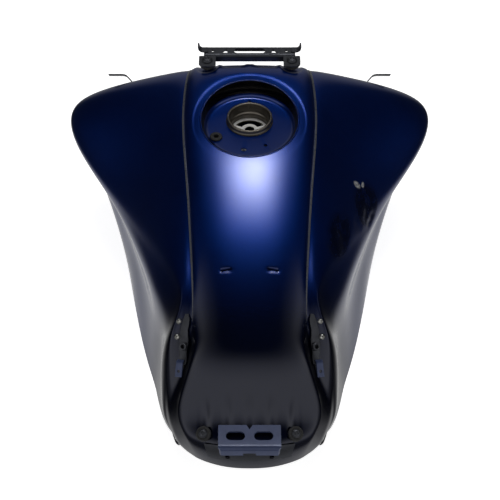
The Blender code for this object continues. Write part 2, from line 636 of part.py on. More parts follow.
# --- the side pockets ---------------------------------------------------------------------------------------
PLATE_U = (0.585, 0.685)
PLATE_INNER = [0.375, 0.345, 0.352, 0.372, 0.366, 0.345, 0.35, 0.37, 0.362, 0.345, 0.352]
PLATE_OUTER = [0.44, 0.475, 0.49, 0.5, 0.5, 0.5, 0.495, 0.49, 0.48, 0.47, 0.45]
for side in (-1, 1):
    name = side_name(side)
    flip = np.array([side, 1, 1])
    top, low = skin_patch(PLATE_U, PLATE_INNER, PLATE_OUTER, 5)
    sheet_of(f"pocket_plate_{name}", top * flip, low * flip, BLACKED, 30)
    for index, (x, y) in enumerate(((79.5, -119.0), (80.5, -131.0))):
        spot, normal = on_skin(side * x, y, 60)
        pin = lathe(
            f"pocket_pin_{name}_{index + 1}",
            [(0, 0), (3.0, 0), (3.0, 1.2), (1.9, 2.0), (1.9, 6.0), (1.2, 6.8), (0, 6.8)],
            (0, 0, 0),
            PLATED,
            12,
        )
        posed(pin, spot, normal, PATCH_HIGH + GAP)
    spot, normal = on_skin(side * 73.0, -140.0, 60)
    nut = hexagon(f"pocket_nut_{name}", 8.5, 0, 5, (0, 0, 0), BLACKED)
    posed(nut, spot, normal, PATCH_HIGH + 3 * GAP)
    spot, normal = on_skin(side * 77.0, -150.0, 60)
    lie = unit(np.array([side * 0.1, -0.8, -0.6]))
    lie = unit(lie - normal * np.dot(lie, normal))
    bend = [spot + normal * 4.1, spot + normal * 5.4 + lie * 1.0, spot + normal * 6.4 + lie * 3.0]
    bend += [spot + normal * 7.4 + lie * 19.0]
    tab = strip(f"pocket_tab_{name}", bend, 8.4, 1.5, np.cross(lie, normal), BRACKET)
    hole = disc("tab_hole", 1.9, -8, 8, (0, 0, 0), BRACKET, 12)
    posed(hole, spot + normal * 7 + lie * 12.5, normal)
    cut(tab, f"pocket_tab_{name}_hole", [hole])

# --- the rear bracket ---------------------------------------------------------------------------------------
REAR_Y, REAR_Z = -232.0, 78.0
rear_path = [(0, REAR_Y + 13.5, REAR_Z), (0, REAR_Y - 14, REAR_Z)]
rear_path += [(0, REAR_Y - 17, REAR_Z - 2), (0, REAR_Y - 17.6, REAR_Z - 11)]
rear_bracket = strip("rear_bracket", rear_path, 69, 2.2, (1, 0, 0), BRACKET)
rear_cuts = []
for side in (-1, 1):
    slot_spot = (side * 15.5, REAR_Y - 1, REAR_Z)
    rear_cuts.append(plate("bolt_slot", rounded(21, 11.5, 5.4), [], -5, 5, slot_spot, BRACKET))
    chamfer = [(side * 36, -30), (side * 36, -17), (side * 27, -30)]
    chamfer = chamfer if side < 0 else chamfer[::-1]
    rear_cuts.append(plate("corner", chamfer, [], -16, 5, (0, REAR_Y, REAR_Z - 5), BRACKET))
rear_cuts.append(plate("notch", [(-5, 16), (0, 7.5), (5, 16)], [], -5, 5, (0, REAR_Y, REAR_Z), BRACKET))
flange_spot = (0, REAR_Y - 17.6, REAR_Z - 3.4)
rear_cuts.append(plate("flange_gap", rounded(14, 12, 3), [], -20, -4, flange_spot, BRACKET))
cut(rear_bracket, "rear_bracket_openings", rear_cuts)
top, low = skin_patch((0.935, 0.978), [0.0] * 5, [0.118] * 5, 6, whole=True)
rear_plate = sheet_of("rear_plate", top, low, BLACKED, 30)
plate_holes = []
for side in (-1, 1):
    hole = disc("plate_hole", 2.6, -6, 6, (side * 24.5, -244, 55), BLACKED, 14, axis="Y")
    plate_holes.append(hole)
    spot, normal = on_skin(side * 50.0, -226.0, 40)
    grommet = lathe(
        f"rear_grommet_{side_name(side)}",
        [(3.0, -0.4), (7.8, 0.4), (8.6, 1.4), (8.4, 5.0), (7.4, 6.0), (3.0, 6.0)],
        (0, 0, 0),
        RUBBER,
        20,
    )
    posed(grommet, spot, normal, 1.6)
    bolt = lathe(
        f"rear_bolt_{side_name(side)}",
        [(0, 2), (2.6, 2), (2.6, 8.0), (5.0, 8.0), (5.2, 9.2), (3.6, 10.8), (0, 11.2)],
        (0, 0, 0),
        PLATED,
        16,
    )
    posed(bolt, spot, normal, 0)
cut(rear_plate, "rear_plate_holes", plate_holes)

# --- the fuel pump unit -------------------------------------------------------------------------------------
PUMP = (0, PUMP_Y, 0)
PUMP_STEPS = 30
BOLT_CIRCLE_R = 45.5
BOLTS = [(BOLT_CIRCLE_R * math.cos(a), BOLT_CIRCLE_R * math.sin(a)) for a in np.radians(range(30, 390, 60))]
bolt_holes = [circle(2.9, spot, 8) for spot in BOLTS]
ring_holes = [circle(41.0, steps=PUMP_STEPS), *bolt_holes]
plate("pump_mount_ring", circle(50.0, steps=PUMP_STEPS), ring_holes, 15.6, 19.6, PUMP, PLATED)
gasket_holes = [circle(40.5, steps=PUMP_STEPS), *bolt_holes]
plate("pump_gasket", circle(51.5, steps=PUMP_STEPS), gasket_holes, 13.9, 15.3, PUMP, RUBBER)
CONNECTOR, OUTLET = (16.0, PUMP_Y - 14.0), (-18.0, PUMP_Y + 18.0)
flange_holes = [*bolt_holes, rounded(14.6, 9.6, 1.5, (16, -14), 2), circle(4.6, (-18, 18), 14)]
plate("pump_flange", circle(52.0, steps=PUMP_STEPS), flange_holes, 10.2, 13.6, PUMP, CAST)
for index, (x, y) in enumerate(BOLTS):
    lathe(
        f"pump_bolt_{index + 1}",
        [(0, 6.6), (4.0, 6.6), (4.6, 7.2), (4.6, 9.9), (2.6, 9.9), (2.6, 20.5), (2.2, 21.0), (0, 21.0)],
        (x, PUMP_Y + y, 0),
        PLATED,
        12,
    )
connector = plate("pump_connector", rounded(14, 9, 1.4, steps=2), [], 5, 24, (*CONNECTOR, 0), PALE)
socket = plate("socket", rounded(11, 6, 0.8, steps=2), [], 0, 13, (*CONNECTOR, 0), PALE)
cut(connector, "connector_socket", [socket])
outlet = [(*OUTLET, 26), (*OUTLET, 8.5)]
outlet += [(OUTLET[0], OUTLET[1] + y, z) for y, z in ((1.4, 5.6), (5, 4.6), (26, 4.6))]
pipe("fuel_outlet", outlet, 3.6, 2.4, PLATED, 12)

MOTOR = (-11.0, PUMP_Y - 4.0)
base_holes = [rounded(16, 11, 1.5, (16, -14), 2), circle(6.2, (-18, 18), 12)]
base = plate("pump_bracket", circle(39.5, steps=28), base_holes, 14.0, 17.4, PUMP, PLASTIC)
spar_spot = (MOTOR[0], MOTOR[1] - 23.0, 0)
spar = plate("spar", rounded(16, 4, 1.2, steps=2), [], 15.5, 92, spar_spot, PLASTIC)
clamp = tube("upper_clamp", 22.6, 19.6, 66, 88, (*MOTOR, 0), PLASTIC, 24)
lower = tube("lower_clamp", 22.6, 19.6, 30, 42, (*MOTOR, 0), PLASTIC, 24)
arm = plate("arm", rounded(7, 18, 1.2, steps=2), [], 44, 56, (22, PUMP_Y - 27.4, 0), PLASTIC)
foot = plate("foot", rounded(40, 4, 1.2, steps=2), [], 40, 58, (3, PUMP_Y - 29, 0), PLASTIC)
join(base, "pump_bracket_part", [spar, clamp, lower, arm, foot])
lathe(
    "pump_motor",
    [(0, 40), (2.2, 40), (2.2, 34), (14.6, 34), (14.6, 27), (17.4, 27), (18.9, 29), (18.9, 96)]
    + [(16, 99), (6, 99), (6, 104), (3.4, 104), (3.4, 107), (0, 107)],
    (*MOTOR, 0),
    CAST,
    24,
)
VANE_STEPS, VANE_TIP, VANE_ROOT = 24, 13.6, 11.4
vanes = []
for i in range(VANE_STEPS):
    turn = 2 * math.pi * i / VANE_STEPS
    reach = VANE_TIP if i % 4 < 2 else VANE_ROOT
    vanes.append((reach * math.cos(turn), reach * math.sin(turn)))
impeller = plate("pump_impeller", vanes, [], 28.6, 33.4, (*MOTOR, 0), PALE)
join(impeller, "impeller_shaft", [disc("shaft", 1.8, 30, 39.4, (*MOTOR, 0), PLATED, 12, edge=0.3)])
disc("pump_strainer", 17.5, 18.0, 26.6, (*MOTOR, 0), PALE, 24, edge=2.5)
REGULATOR = (20.0, PUMP_Y + 20.0)
lathe(
    "pressure_regulator",
    [(0, 17.8), (8, 17.8), (9.0, 19), (9.0, 44), (7, 46), (3.2, 46), (3.2, 54), (0, 54)],
    (*REGULATOR, 0),
    PLATED,
    24,
)
hose = [(*MOTOR, 104.6), (*MOTOR, 112), (MOTOR[0] + 3, MOTOR[1] + 4, 119), (MOTOR[0] + 10, MOTOR[1] + 9, 122)]
hose += [(REGULATOR[0] - 8, REGULATOR[1] - 4, 119), (REGULATOR[0] - 2, REGULATOR[1] - 1, 108)]
hose += [(*REGULATOR, 94), (*REGULATOR, 47)]
pipe("pump_hose", hose, 5.2, 3.8, RUBBER, 12)

PIVOT = np.array([34.0, PUMP_Y - 8.0, 50.0])
body = plate("level_sender", rounded(20, 8, 1.5, steps=2), [], -12, 14, PIVOT - [5, 6, 0], PALE)
boss = disc("boss", 1.9, -4, 7.0, PIVOT, PALE, 14, axis="Y", edge=0.3)
join(body, "level_sender_boss", [boss])
hub = lathe("float_arm", [(2.2, -1.6), (4.0, -1.6), (4.0, 6.2), (2.2, 6.2)], PIVOT, PLATED, 20, axis="Y")
drop = math.radians(-14)
lie = np.array([math.cos(drop), 0, math.sin(drop)])
FLOAT = PIVOT + lie * 40 + [0, 16.0, 0]
bends = ((3.2, 3), (22, 3), (36, 4.4), (39.4, 7), (40, 10), (40, 33))
wire = [PIVOT + lie * along + [0, y, 0] for along, y in bends]
join(hub, "float_wire", [pipe("wire", wire, 1.1, 0.5, PLATED, 10, solid=True)])
lathe(
    "level_float",
    [(1.5, 2.6), (7.4, 2.6), (8.6, 3.8), (8.6, 20.2), (7.4, 21.4), (1.5, 21.4)],
    (FLOAT[0], FLOAT[1] - 3, FLOAT[2]),
    PLASTIC,
    24,
    axis="Y",
)

for moving in ("float_arm", "level_float"):
    obj = bpy.data.objects[moving]
    origin = PIVOT * MM
    for vertex in obj.data.vertices:
        vertex.co = np.array(vertex.co) - origin
    obj.location = origin

# The rows above are measured from the middle of the skin. The whole object is centred on the origin here.
for obj in bpy.data.objects:
    obj.location.y -= CENTRE_Y * MM
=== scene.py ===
"""Looks of the motorcycle fuel tank: painted skin, filler, brackets, light and camera.

Frame: metres, +X to the rider's right, +Y to the front of the tank, +Z up, base on z = 0. Sizes below are in
millimetres, and y is measured from the middle of the skin, as in the design; CENTRE_Y moves it to the frame.
"""

import json
import math

import bmesh
import bpy
import numpy as np
from mathutils import Matrix, Vector

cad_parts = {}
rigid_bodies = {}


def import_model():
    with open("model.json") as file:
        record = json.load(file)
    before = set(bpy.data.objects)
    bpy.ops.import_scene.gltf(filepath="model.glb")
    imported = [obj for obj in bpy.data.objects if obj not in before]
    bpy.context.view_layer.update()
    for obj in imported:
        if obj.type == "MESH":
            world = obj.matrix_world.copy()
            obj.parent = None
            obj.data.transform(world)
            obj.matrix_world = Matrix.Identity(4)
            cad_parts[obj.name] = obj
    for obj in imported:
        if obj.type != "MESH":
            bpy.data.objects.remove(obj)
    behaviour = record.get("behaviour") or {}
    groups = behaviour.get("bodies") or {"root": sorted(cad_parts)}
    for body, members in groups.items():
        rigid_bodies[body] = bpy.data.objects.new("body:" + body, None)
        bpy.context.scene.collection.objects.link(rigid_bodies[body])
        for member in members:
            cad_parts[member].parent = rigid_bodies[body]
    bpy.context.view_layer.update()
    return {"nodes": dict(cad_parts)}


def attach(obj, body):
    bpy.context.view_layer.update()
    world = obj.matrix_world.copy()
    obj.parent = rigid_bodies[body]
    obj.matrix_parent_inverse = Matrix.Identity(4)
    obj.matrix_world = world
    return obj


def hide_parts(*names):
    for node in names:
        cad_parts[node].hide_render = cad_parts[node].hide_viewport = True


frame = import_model()

MM = 0.001
CENTRE_Y = 6.5
SHEET = 1.6
GAP = 0.3
FILLER_Y, FLOOR_Z, RECESS_R = 120.0, 220.0, 60.0
NECK_Y = 129.0
GROOVE_WIDTH = 5.5

# centre (y, z), spine edge, crease, knee, rim (x, y, z), groove depth, pocket depth, bulge, crease radius
SKIN_ROWS = [
    ((200, 112), (58, 206, 104), (124, 230, 50), (146, 226, 22), (152, 214, 0), 0, 0, 4, 8),
    ((212, 138), (62, 218, 132), (170, 250, 80), (172, 236, 42), (162, 202, 0), 0, 0, 6, 12),
    ((224, 177), (66, 232, 172), (214, 267, 112), (196, 234, 62), (167, 186, 0), 1, 0, 8, 20),
    ((232, 214), (69, 237, 207), (241, 267, 139), (204, 220, 76), (168, 166, 0), 4, 0, 8, 22),
    ((219, 243), (71, 221, 235), (250, 239, 152), (204, 196, 84), (167, 140, 0), 5, 0, 8, 20),
    ((184, 245), (76, 186, 237), (242, 200, 144), (191, 168, 84), (163, 104, 0), 5, 0, 8, 16),
    ((136, 238), (79, 136, 229), (213, 152, 130), (167, 130, 76), (155, 65, 0), 5, 0, 7, 12),
    ((92, 231), (77, 92, 220), (175, 102, 123), (148, 84, 70), (147, 22, 0), 5, 0, 6, 10),
    ((48, 220), (73, 48, 209), (147, 52, 129), (130, 38, 68), (138, -22, 0), 5, 0, 5, 10),
    ((4, 207), (69, 4, 196), (123, 2, 140), (116, -8, 74), (130, -56, 0), 5, 0, 4, 10),
    ((-40, 192), (65, -40, 181), (100, -46, 153), (106, -54, 80), (122, -84, 0), 5, 0, 3, 9),
    ((-80, 175), (61, -80, 164), (77, -86, 158), (98, -86, 76), (115, -106, 0), 4, 1, 1, 6),
    ((-110, 160), (59, -108, 149), (80, -108, 146), (96, -108, 66), (111, -125, 2), 3, 3, 0, 5),
    ((-140, 145), (60, -136, 134), (91, -128, 132), (97, -124, 56), (107, -142, 6), 4, 10, 0, 5),
    ((-166, 132), (66, -160, 121), (94, -148, 108), (98, -140, 48), (103, -158, 11), 4, 12, 0, 5),
    ((-188, 108), (75, -180, 98), (95, -166, 84), (98, -156, 42), (99, -170, 16), 2, 6, 0, 5),
    ((-205, 88), (79, -197, 82), (96, -180, 63), (97, -172, 38), (95, -181, 21), 0, 1, 0, 5),
    ((-217, 76), (77, -209, 72), (94, -192, 52), (94, -184, 36), (90, -190, 25), 0, 0, 0, 4),
    ((-229, 71), (72, -219, 67), (89, -203, 46), (88, -194, 36), (86, -197, 28), 0, 0, 0, 4),
    ((-240, 66), (66, -229, 61), (85, -211, 42), (84, -204, 35), (84, -206, 29), 0, 0, 0, 4),
    ((-246, 50), (60, -233, 48), (80, -217, 38), (82, -210, 34), (82, -210, 30), 0, 0, 0, 3),
    ((-245, 33), (58, -232, 33), (72, -221, 33), (77, -215, 32), (80, -210, 30), 0, 0, 0, 3),
]
# how far the side wall swells outwards in each row, and in which direction
SIDE_SWELL = [0, 0, 0, 0, 0, 0, 0.5, 2.5, 6, 8, 9, 8, 7, 6, 5, 4, 3, 2, 1, 0, 0, 0]
SIDE_WAY = [0.90, -0.36, 0.25]
# the share of that swell that the wall's middle, the knee, the lower wall and the rim take
SIDE_SHARE = np.array([1.6, 0.8, 0.3, -0.1])
SIDES = ((-1, "left"), (1, "right"))
SKIN_ALONG, SKIN_ACROSS = 330, 190


# --- surfaces -------------------------------------------------------------------------------------
def unit(vector):
    return vector / np.linalg.norm(vector)


def skin_net():
    net = []
    for centre, edge, crease, knee, rim, depth, floor, bulge, radius in SKIN_ROWS:
        c = np.array([0.0, *centre])
        e, k, n, r = (np.array(p, float) for p in (edge, crease, knee, rim))
        inner = np.array([0.34 * e[0], c[1], c[2]])
        outer = np.array([0.72 * e[0], c[1] + 0.42 * (e[1] - c[1]), c[2] + 0.34 * (e[2] - c[2])])
        span = np.linalg.norm(k - e)
        across = (k - e) / span
        normal = unit(np.cross(across, [0, -1, 0]))
        normal = normal if normal[2] > 0 else -normal
        near = min(GROOVE_WIDTH, 0.3 * span)
        far = min(2 * GROOVE_WIDTH, 0.55 * span)
        valley = e + across * near - normal * max(depth, 0.7 * floor)
        shoulder = e + across * far - normal * floor
        wing = e + across * (far + span) / 2 + normal * (bulge - floor)
        above = k + unit(wing - k) * min(radius, 0.4 * np.linalg.norm(wing - k))
        below = k + unit(n - k) * min(radius, 0.4 * np.linalg.norm(n - k))
        net.append([c, inner, outer, e, valley, shoulder, wing, above, below, (k + n) / 2, n, (n + r) / 2, r])
    net = np.array(net)
    net[:, 9:] += np.array(SIDE_SWELL)[:, None, None] * SIDE_SHARE[:, None] * SIDE_WAY
    net[:, 12, 2] = [row[4][2] for row in SKIN_ROWS]
    return net


def spline_weights(count, samples, degree=3):
    """Weights of a clamped uniform B-spline, one row for each sample in 0..1."""
    knots = np.concatenate([[0] * degree, np.linspace(0, 1, count - degree + 1), [1] * degree])
    t = np.clip(np.asarray(samples, float), 0, 1 - 1e-9)
    weights = ((t[:, None] >= knots[None, :-1]) & (t[:, None] < knots[None, 1:])).astype(float)
    for d in range(1, degree + 1):
        raised = np.zeros((len(t), weights.shape[1] - 1))
        for i in range(raised.shape[1]):
            left = knots[i + d] - knots[i]
            right = knots[i + d + 1] - knots[i + 1]
            if left > 0:
                raised[:, i] += (t - knots[i]) / left * weights[:, i]
            if right > 0:
                raised[:, i] += (knots[i + d + 1] - t) / right * weights[:, i + 1]
        weights = raised
    return weights


def spline_grid(net, along, across):
    return np.einsum(
        "ai,bj,ijk->abk", spline_weights(len(net), along), spline_weights(len(net[0]), across), net,
    )


def mirrored(grid):
    left = grid[:, :0:-1] * np.array([-1, 1, 1])
    return np.concatenate([left, grid], axis=1)


def grid_normals(grid):
    normals = np.cross(np.gradient(grid, axis=0), np.gradient(grid, axis=1))
    normals /= np.maximum(np.linalg.norm(normals, axis=2, keepdims=True), 1e-12)
    middle = normals[len(normals) // 2, normals.shape[1] // 2]
    return normals if middle[2] > 0 else -normals


def smoothstep(low, high, value):
    t = np.clip((value - low) / (high - low), 0, 1)
    return t * t * (3 - 2 * t)


# --- mesh helpers ---------------------------------------------------------------------------------
def piece(name, points, faces, look, body="tank", slot=None, stands_for=(), smooth=38, bevel=0.0):
    """A named mesh from points in millimetres, faces outward, with its material and the body it rides on."""
    mesh = bpy.data.meshes.new(name)
    place = np.asarray(points, float).reshape(-1, 3) * MM - np.array([0, CENTRE_Y * MM, 0])
    mesh.from_pydata(place.tolist(), [], [tuple(int(i) for i in f) for f in faces])
    mesh.validate()
    work = bmesh.new()
    work.from_mesh(mesh)
    bmesh.ops.remove_doubles(work, verts=work.verts, dist=1e-7)
    bmesh.ops.recalc_face_normals(work, faces=work.faces)
    if work.calc_volume(signed=True) < 0:
        bmesh.ops.reverse_faces(work, faces=work.faces)
    work.to_mesh(mesh)
    work.free()
    obj = bpy.data.objects.new(name, mesh)
    bpy.context.scene.collection.objects.link(obj)
    mesh.materials.append(look)
    mesh.shade_smooth()
    if smooth:
        mesh.set_sharp_from_angle(angle=math.radians(smooth))
    if bevel:
        edge = obj.modifiers.new("edge", "BEVEL")
        edge.width = bevel * MM
        edge.segments = 2
        edge.limit_method = "ANGLE"
        edge.angle_limit = math.radians(40)
    if body:
        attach(obj, body)
        if stands_for:
            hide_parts(*stands_for)
    return obj


def grid_faces(rows, cols, wrap=False, start=0):
    faces = []
    for i in range(rows - 1):
        for j in range(cols if wrap else cols - 1):
            k = (j + 1) % cols
            a, b = start + i * cols, start + (i + 1) * cols
            faces.append((a + j, a + k, b + k, b + j))
    return faces


def closed_sheet(top, bottom):
    """(points, faces) of the closed solid between two grids of the same size."""
    rows, cols = top.shape[:2]
    count = rows * cols
    faces = grid_faces(rows, cols) + [f[::-1] for f in grid_faces(rows, cols, start=count)]
    edge = list(range(cols)) + [i * cols + cols - 1 for i in range(1, rows)]
    edge += [
        (rows - 1) * cols + j
        for j in range(cols - 2, -1, -1)
    ] + [i * cols for i in range(rows - 2, 0, -1)]
    faces += [(a, count + a, count + b, b) for a, b in zip(edge, edge[1:] + edge[:1])]
    return np.concatenate([top.reshape(-1, 3), bottom.reshape(-1, 3)]), faces


def cut(obj, cutters):
    """Cuts closed cutters from an object and applies the result."""
    joined = bmesh.new()
    for cutter in cutters:
        joined.from_mesh(cutter.data)
        bpy.data.objects.remove(cutter)
    mesh = bpy.data.meshes.new("cutter")
    joined.to_mesh(mesh)
    joined.free()
    tool = bpy.data.objects.new("cutter", mesh)
    bpy.context.scene.collection.objects.link(tool)
    modifier = obj.modifiers.new("cut", "BOOLEAN")
    modifier.operation = "DIFFERENCE"
    modifier.solver = "MANIFOLD"
    modifier.object = tool
    tool.parent = obj.parent
    graph = bpy.context.evaluated_depsgraph_get()
    obj.modifiers.move(len(obj.modifiers) - 1, 0)
    others = [(m, m.show_viewport) for m in obj.modifiers if m != modifier]
    for other, _ in others:
        other.show_viewport = False
    bpy.context.view_layer.update()
    made = bpy.data.meshes.new_from_object(obj.evaluated_get(graph), depsgraph=graph)
    for other, shown in others:
        other.show_viewport = shown
    obj.modifiers.remove(modifier)
    old = obj.data
    obj.data = made
    made.name = old.name
    bpy.data.meshes.remove(old)
    bpy.data.objects.remove(tool)
    made.shade_smooth()
    made.set_sharp_from_angle(angle=math.radians(38))


# --- materials ------------------------------------------------------------------------------------
class Look:
    """A small builder of node materials. Textures are read in object coordinates, in millimetres."""

    def __init__(self, name):
        self.material = bpy.data.materials.new(name)
        self.material.use_nodes = True
        self.tree = self.material.node_tree
        self.shader = self.tree.nodes["Principled BSDF"]
        coordinates = self.node("ShaderNodeTexCoord")
        scale = self.node("ShaderNodeVectorMath", operation="SCALE")
        scale.inputs["Scale"].default_value = 1000.0
        self.link(coordinates.outputs["Object"], scale.inputs[0])
        self.place = scale.outputs[0]

    def node(self, kind, **settings):
        made = self.tree.nodes.new(kind)
        for key, value in settings.items():
            setattr(made, key, value)
        return made

    def link(self, source, target):
        self.tree.links.new(source, target)

    def set(self, **values):
        for key, value in values.items():
            socket = self.shader.inputs[key.replace("_", " ").title().replace("Ior", "IOR")]
            socket.default_value = value

    def put(self, socket, value):
        if isinstance(value, bpy.types.NodeSocket):
            self.link(value, socket)
        else:
            socket.default_value = (*value, 1) if isinstance(
                value, tuple,
            ) and socket.type == "RGBA" else value

    def noise(self, scale, detail=3.0, roughness=0.55):
        """Noise whose features are about 1 / scale millimetres."""
        made = self.node("ShaderNodeTexNoise")
        made.inputs["Scale"].default_value = scale
        made.inputs["Detail"].default_value = detail
        made.inputs["Roughness"].default_value = roughness
        self.link(self.place, made.inputs["Vector"])
        return made.outputs["Fac"]

    def cells(self, scale):
        """A random colour for each cell of about 1 / scale millimetres."""
        made = self.node("ShaderNodeTexVoronoi", feature="F1")
        made.inputs["Scale"].default_value = scale
        self.link(self.place, made.inputs["Vector"])
        return made.outputs["Color"]

    def ramp(self, value, low, high, start=0.0, end=1.0):
        """A smooth step from start to end as the value goes from low to high."""
        made = self.node("ShaderNodeMapRange", interpolation_type="SMOOTHSTEP")
        self.put(made.inputs["Value"], value)
        for key, number in (("From Min", low), ("From Max", high), ("To Min", start), ("To Max", end)):
            self.put(made.inputs[key], number)
        return made.outputs["Result"]

    def math(self, operation, first, second=0.0, third=0.0):
        made = self.node("ShaderNodeMath", operation=operation)
        for socket, value in zip(made.inputs, (first, second, third)):
            self.put(socket, value)
        return made.outputs[0]

    def mix(self, share, first, second):
        made = self.node("ShaderNodeMix", data_type="RGBA")
        self.put(made.inputs["Factor"], share)
        self.put(made.inputs["A"], first)
        self.put(made.inputs["B"], second)
        return made.outputs["Result"]

    def axis(self, name):
        made = self.node("ShaderNodeSeparateXYZ")
        self.link(self.place, made.inputs[0])
        return made.outputs[name]

    def near(self, spot, reach, soft):
        """1 inside an ellipsoid about a spot (mm), falling to 0 at the reach plus the soft share."""
        away = self.node("ShaderNodeVectorMath", operation="SUBTRACT")
        self.link(self.place, away.inputs[0])
        away.inputs[1].default_value = spot
        by = self.node("ShaderNodeVectorMath", operation="DIVIDE")
        self.link(away.outputs[0], by.inputs[0])
        by.inputs[1].default_value = reach
        size = self.node("ShaderNodeVectorMath", operation="LENGTH")
        self.link(by.outputs[0], size.inputs[0])
        return self.ramp(size.outputs["Value"], 1.0 + soft, 1.0 - soft)

    def bump(self, height, distance, strength=1.0, target="Normal"):
        made = self.node("ShaderNodeBump")
        made.inputs["Distance"].default_value = distance * MM
        made.inputs["Strength"].default_value = strength
        self.put(made.inputs["Height"], height)
        held = self.shader.inputs[target]
        if held.is_linked:
            self.link(held.links[0].from_socket, made.inputs["Normal"])
        self.link(made.outputs[0], held)


def tank_paint(name, damage=False, well=False):
    """Dark blue metallic paint under a satin clear coat, with painted shade that darkens it towards the rear.
    """
    look = Look(name)
    look.set(
        metallic=0.92, specular_ior_level=0.0, ior=1.5, coat_weight=1.0, coat_roughness=0.14, coat_ior=1.5,
    )
    flakes = look.cells(5.5)
    flake = look.node("ShaderNodeSeparateColor")
    look.link(flakes, flake.inputs[0])
    cloud = look.noise(0.02, 4.0)
    base = look.mix(cloud, (0.0005, 0.0200, 0.165), (0.0008, 0.0260, 0.205))
    bright = look.ramp(flake.outputs[0], 0.80, 1.0)
    base = look.mix(look.math("MULTIPLY", bright, 0.35), base, (0.008, 0.080, 0.46))
    rough = look.ramp(look.noise(0.012, 3.0), 0.3, 0.7, 0.33, 0.38)
    dust = look.ramp(look.noise(0.35, 6.0, 0.75), 0.66, 0.78)
    base = look.mix(look.math("MULTIPLY", dust, 0.05), base, (0.25, 0.27, 0.30))
    # painted shade: the colour turns near black towards the rear of the tank (y from -10 to -150 mm), where
    # less light falls
    rear_painted_shade = look.ramp(look.axis("Y"), -10, -150)
    base = look.mix(look.math("MULTIPLY", rear_painted_shade, 0.96), base, (0.0002, 0.0016, 0.0110))
    if damage:
        base, rough = wing_damage(look, base, rough)
    # painted shade: the steep wall of the filler's well is darkened to near black
    if well:
        base = well_wall_painted_shade(look, base)
    look.put(look.shader.inputs["Base Color"], base)
    look.put(look.shader.inputs["Roughness"], rough)
    look.bump(look.noise(0.75, 2.0), 0.035)
    look.bump(flake.outputs[1], 0.004, 0.5)
    look.bump(look.noise(0.6, 2.0), 0.02, target="Coat Normal")
    return look.material


def well_wall_painted_shade(look, base):
    """The steep wall of the filler's well is painted near-black as painted shade, with slightly uneven edges.
    """
    away = look.node("ShaderNodeVectorMath", operation="SUBTRACT")
    look.link(look.place, away.inputs[0])
    away.inputs[1].default_value = (0, FILLER_Y - CENTRE_Y, 0)
    flat_away = look.node("ShaderNodeVectorMath", operation="MULTIPLY")
    look.link(away.outputs[0], flat_away.inputs[0])
    flat_away.inputs[1].default_value = (1, 1, 0)
    radius = look.node("ShaderNodeVectorMath", operation="LENGTH")
    look.link(flat_away.outputs[0], radius.inputs[0])
    radius = look.math("ADD", radius.outputs["Value"], look.math("MULTIPLY", look.noise(0.3, 3.0), 0.3))
    wall_shade = look.math("MULTIPLY", look.ramp(radius, 54.6, 55.1), look.ramp(radius, 58.45, 58.15))
    return look.mix(look.math("MULTIPLY", wall_shade, 0.985), base, (0.0010, 0.0011, 0.0014))


# where the right wing is hurt: middle, reach along each axis, soft share of the reach
# dents whose paint is darkened as painted shade and made glossier
SHADED_GLOSSY_DENTS = (((142, 58, 138), (26, 25, 26), 0.30), ((108, -12, 158), (22, 32, 17), 0.35))
SCUFFS = (((141, 46, 134), (15, 34, 20), 0.6), ((107, -14, 158), (17, 34, 14), 0.6))
PAINT_CHIPS = (((130.5, 69.5, 163.5), (5.6, 3.6, 6.5), 0.3), ((138.2, 75.0, 158.0), (2.2, 4.2, 3.0), 0.3))


def wing_damage(look, base, rough):
    """Chips down to the primer, and scuffed, glossier dents along the lower edge of the right wing, their
    paint darkened as painted shade.
    """
    ragged = look.ramp(look.noise(0.07, 3.0, 0.5), 0.28, 0.50, 0.25, 1.0)
    dent_shade_and_gloss = look.math("MAXIMUM", *[look.near(*dent) for dent in SHADED_GLOSSY_DENTS])
    dent_shade_and_gloss = look.math("MULTIPLY", dent_shade_and_gloss, ragged)
    # painted shade: the paint over the dents is darkened nearly to black; their lower roughness is a glossier
    # finish
    base = look.mix(look.math("MULTIPLY", dent_shade_and_gloss, 0.55), base, (0.0003, 0.0012, 0.0070))
    rough = look.math("MULTIPLY_ADD", dent_shade_and_gloss, -0.15, rough)
    edge = look.math("MAXIMUM", *[look.near(*scuff) for scuff in SCUFFS])
    specks = look.math("MULTIPLY", edge, look.ramp(look.noise(0.9, 5.0, 0.8), 0.64, 0.71))
    base = look.mix(look.math("MULTIPLY", specks, 0.30), base, (0.30, 0.32, 0.36))
    chips = look.math("MAXIMUM", *[look.near(*chip) for chip in PAINT_CHIPS])
    chips = look.math("MULTIPLY", chips, look.ramp(look.noise(0.45, 4.0, 0.7), 0.40, 0.46))
    base = look.mix(chips, base, (0.78, 0.79, 0.80))
    return base, look.math("MULTIPLY_ADD", chips, 0.25, rough)


def plain(name, colour, rough, metallic, grain=0.6, grain_depth=0.03, wear=0.12, coat=0.0):
    """A coated or bare metal, rubber or plastic with fine grain, uneven tone and rubbed patches."""
    look = Look(name)
    look.set(metallic=metallic, coat_weight=coat, coat_roughness=0.25)
    tone = look.noise(0.08, 5.0, 0.6)
    dark = tuple(c * 0.72 for c in colour)
    light = tuple(min(1.0, c * 1.28 + 0.004) for c in colour)
    base = look.mix(tone, dark, light)
    specks = look.ramp(look.noise(grain, 4.0, 0.7), 0.58, 0.72)
    base = look.mix(
        look.math("MULTIPLY", specks, wear), base, tuple(min(1.0, c * 2.2 + 0.03) for c in colour),
    )
    look.put(look.shader.inputs["Base Color"], base)
    look.put(
        look.shader.inputs["Roughness"],
        look.ramp(look.noise(0.25, 4.0), 0.3, 0.7, rough * 0.86, rough * 1.14),
    )
    look.bump(look.noise(grain * 1.6, 3.0), grain_depth)
    return look.material


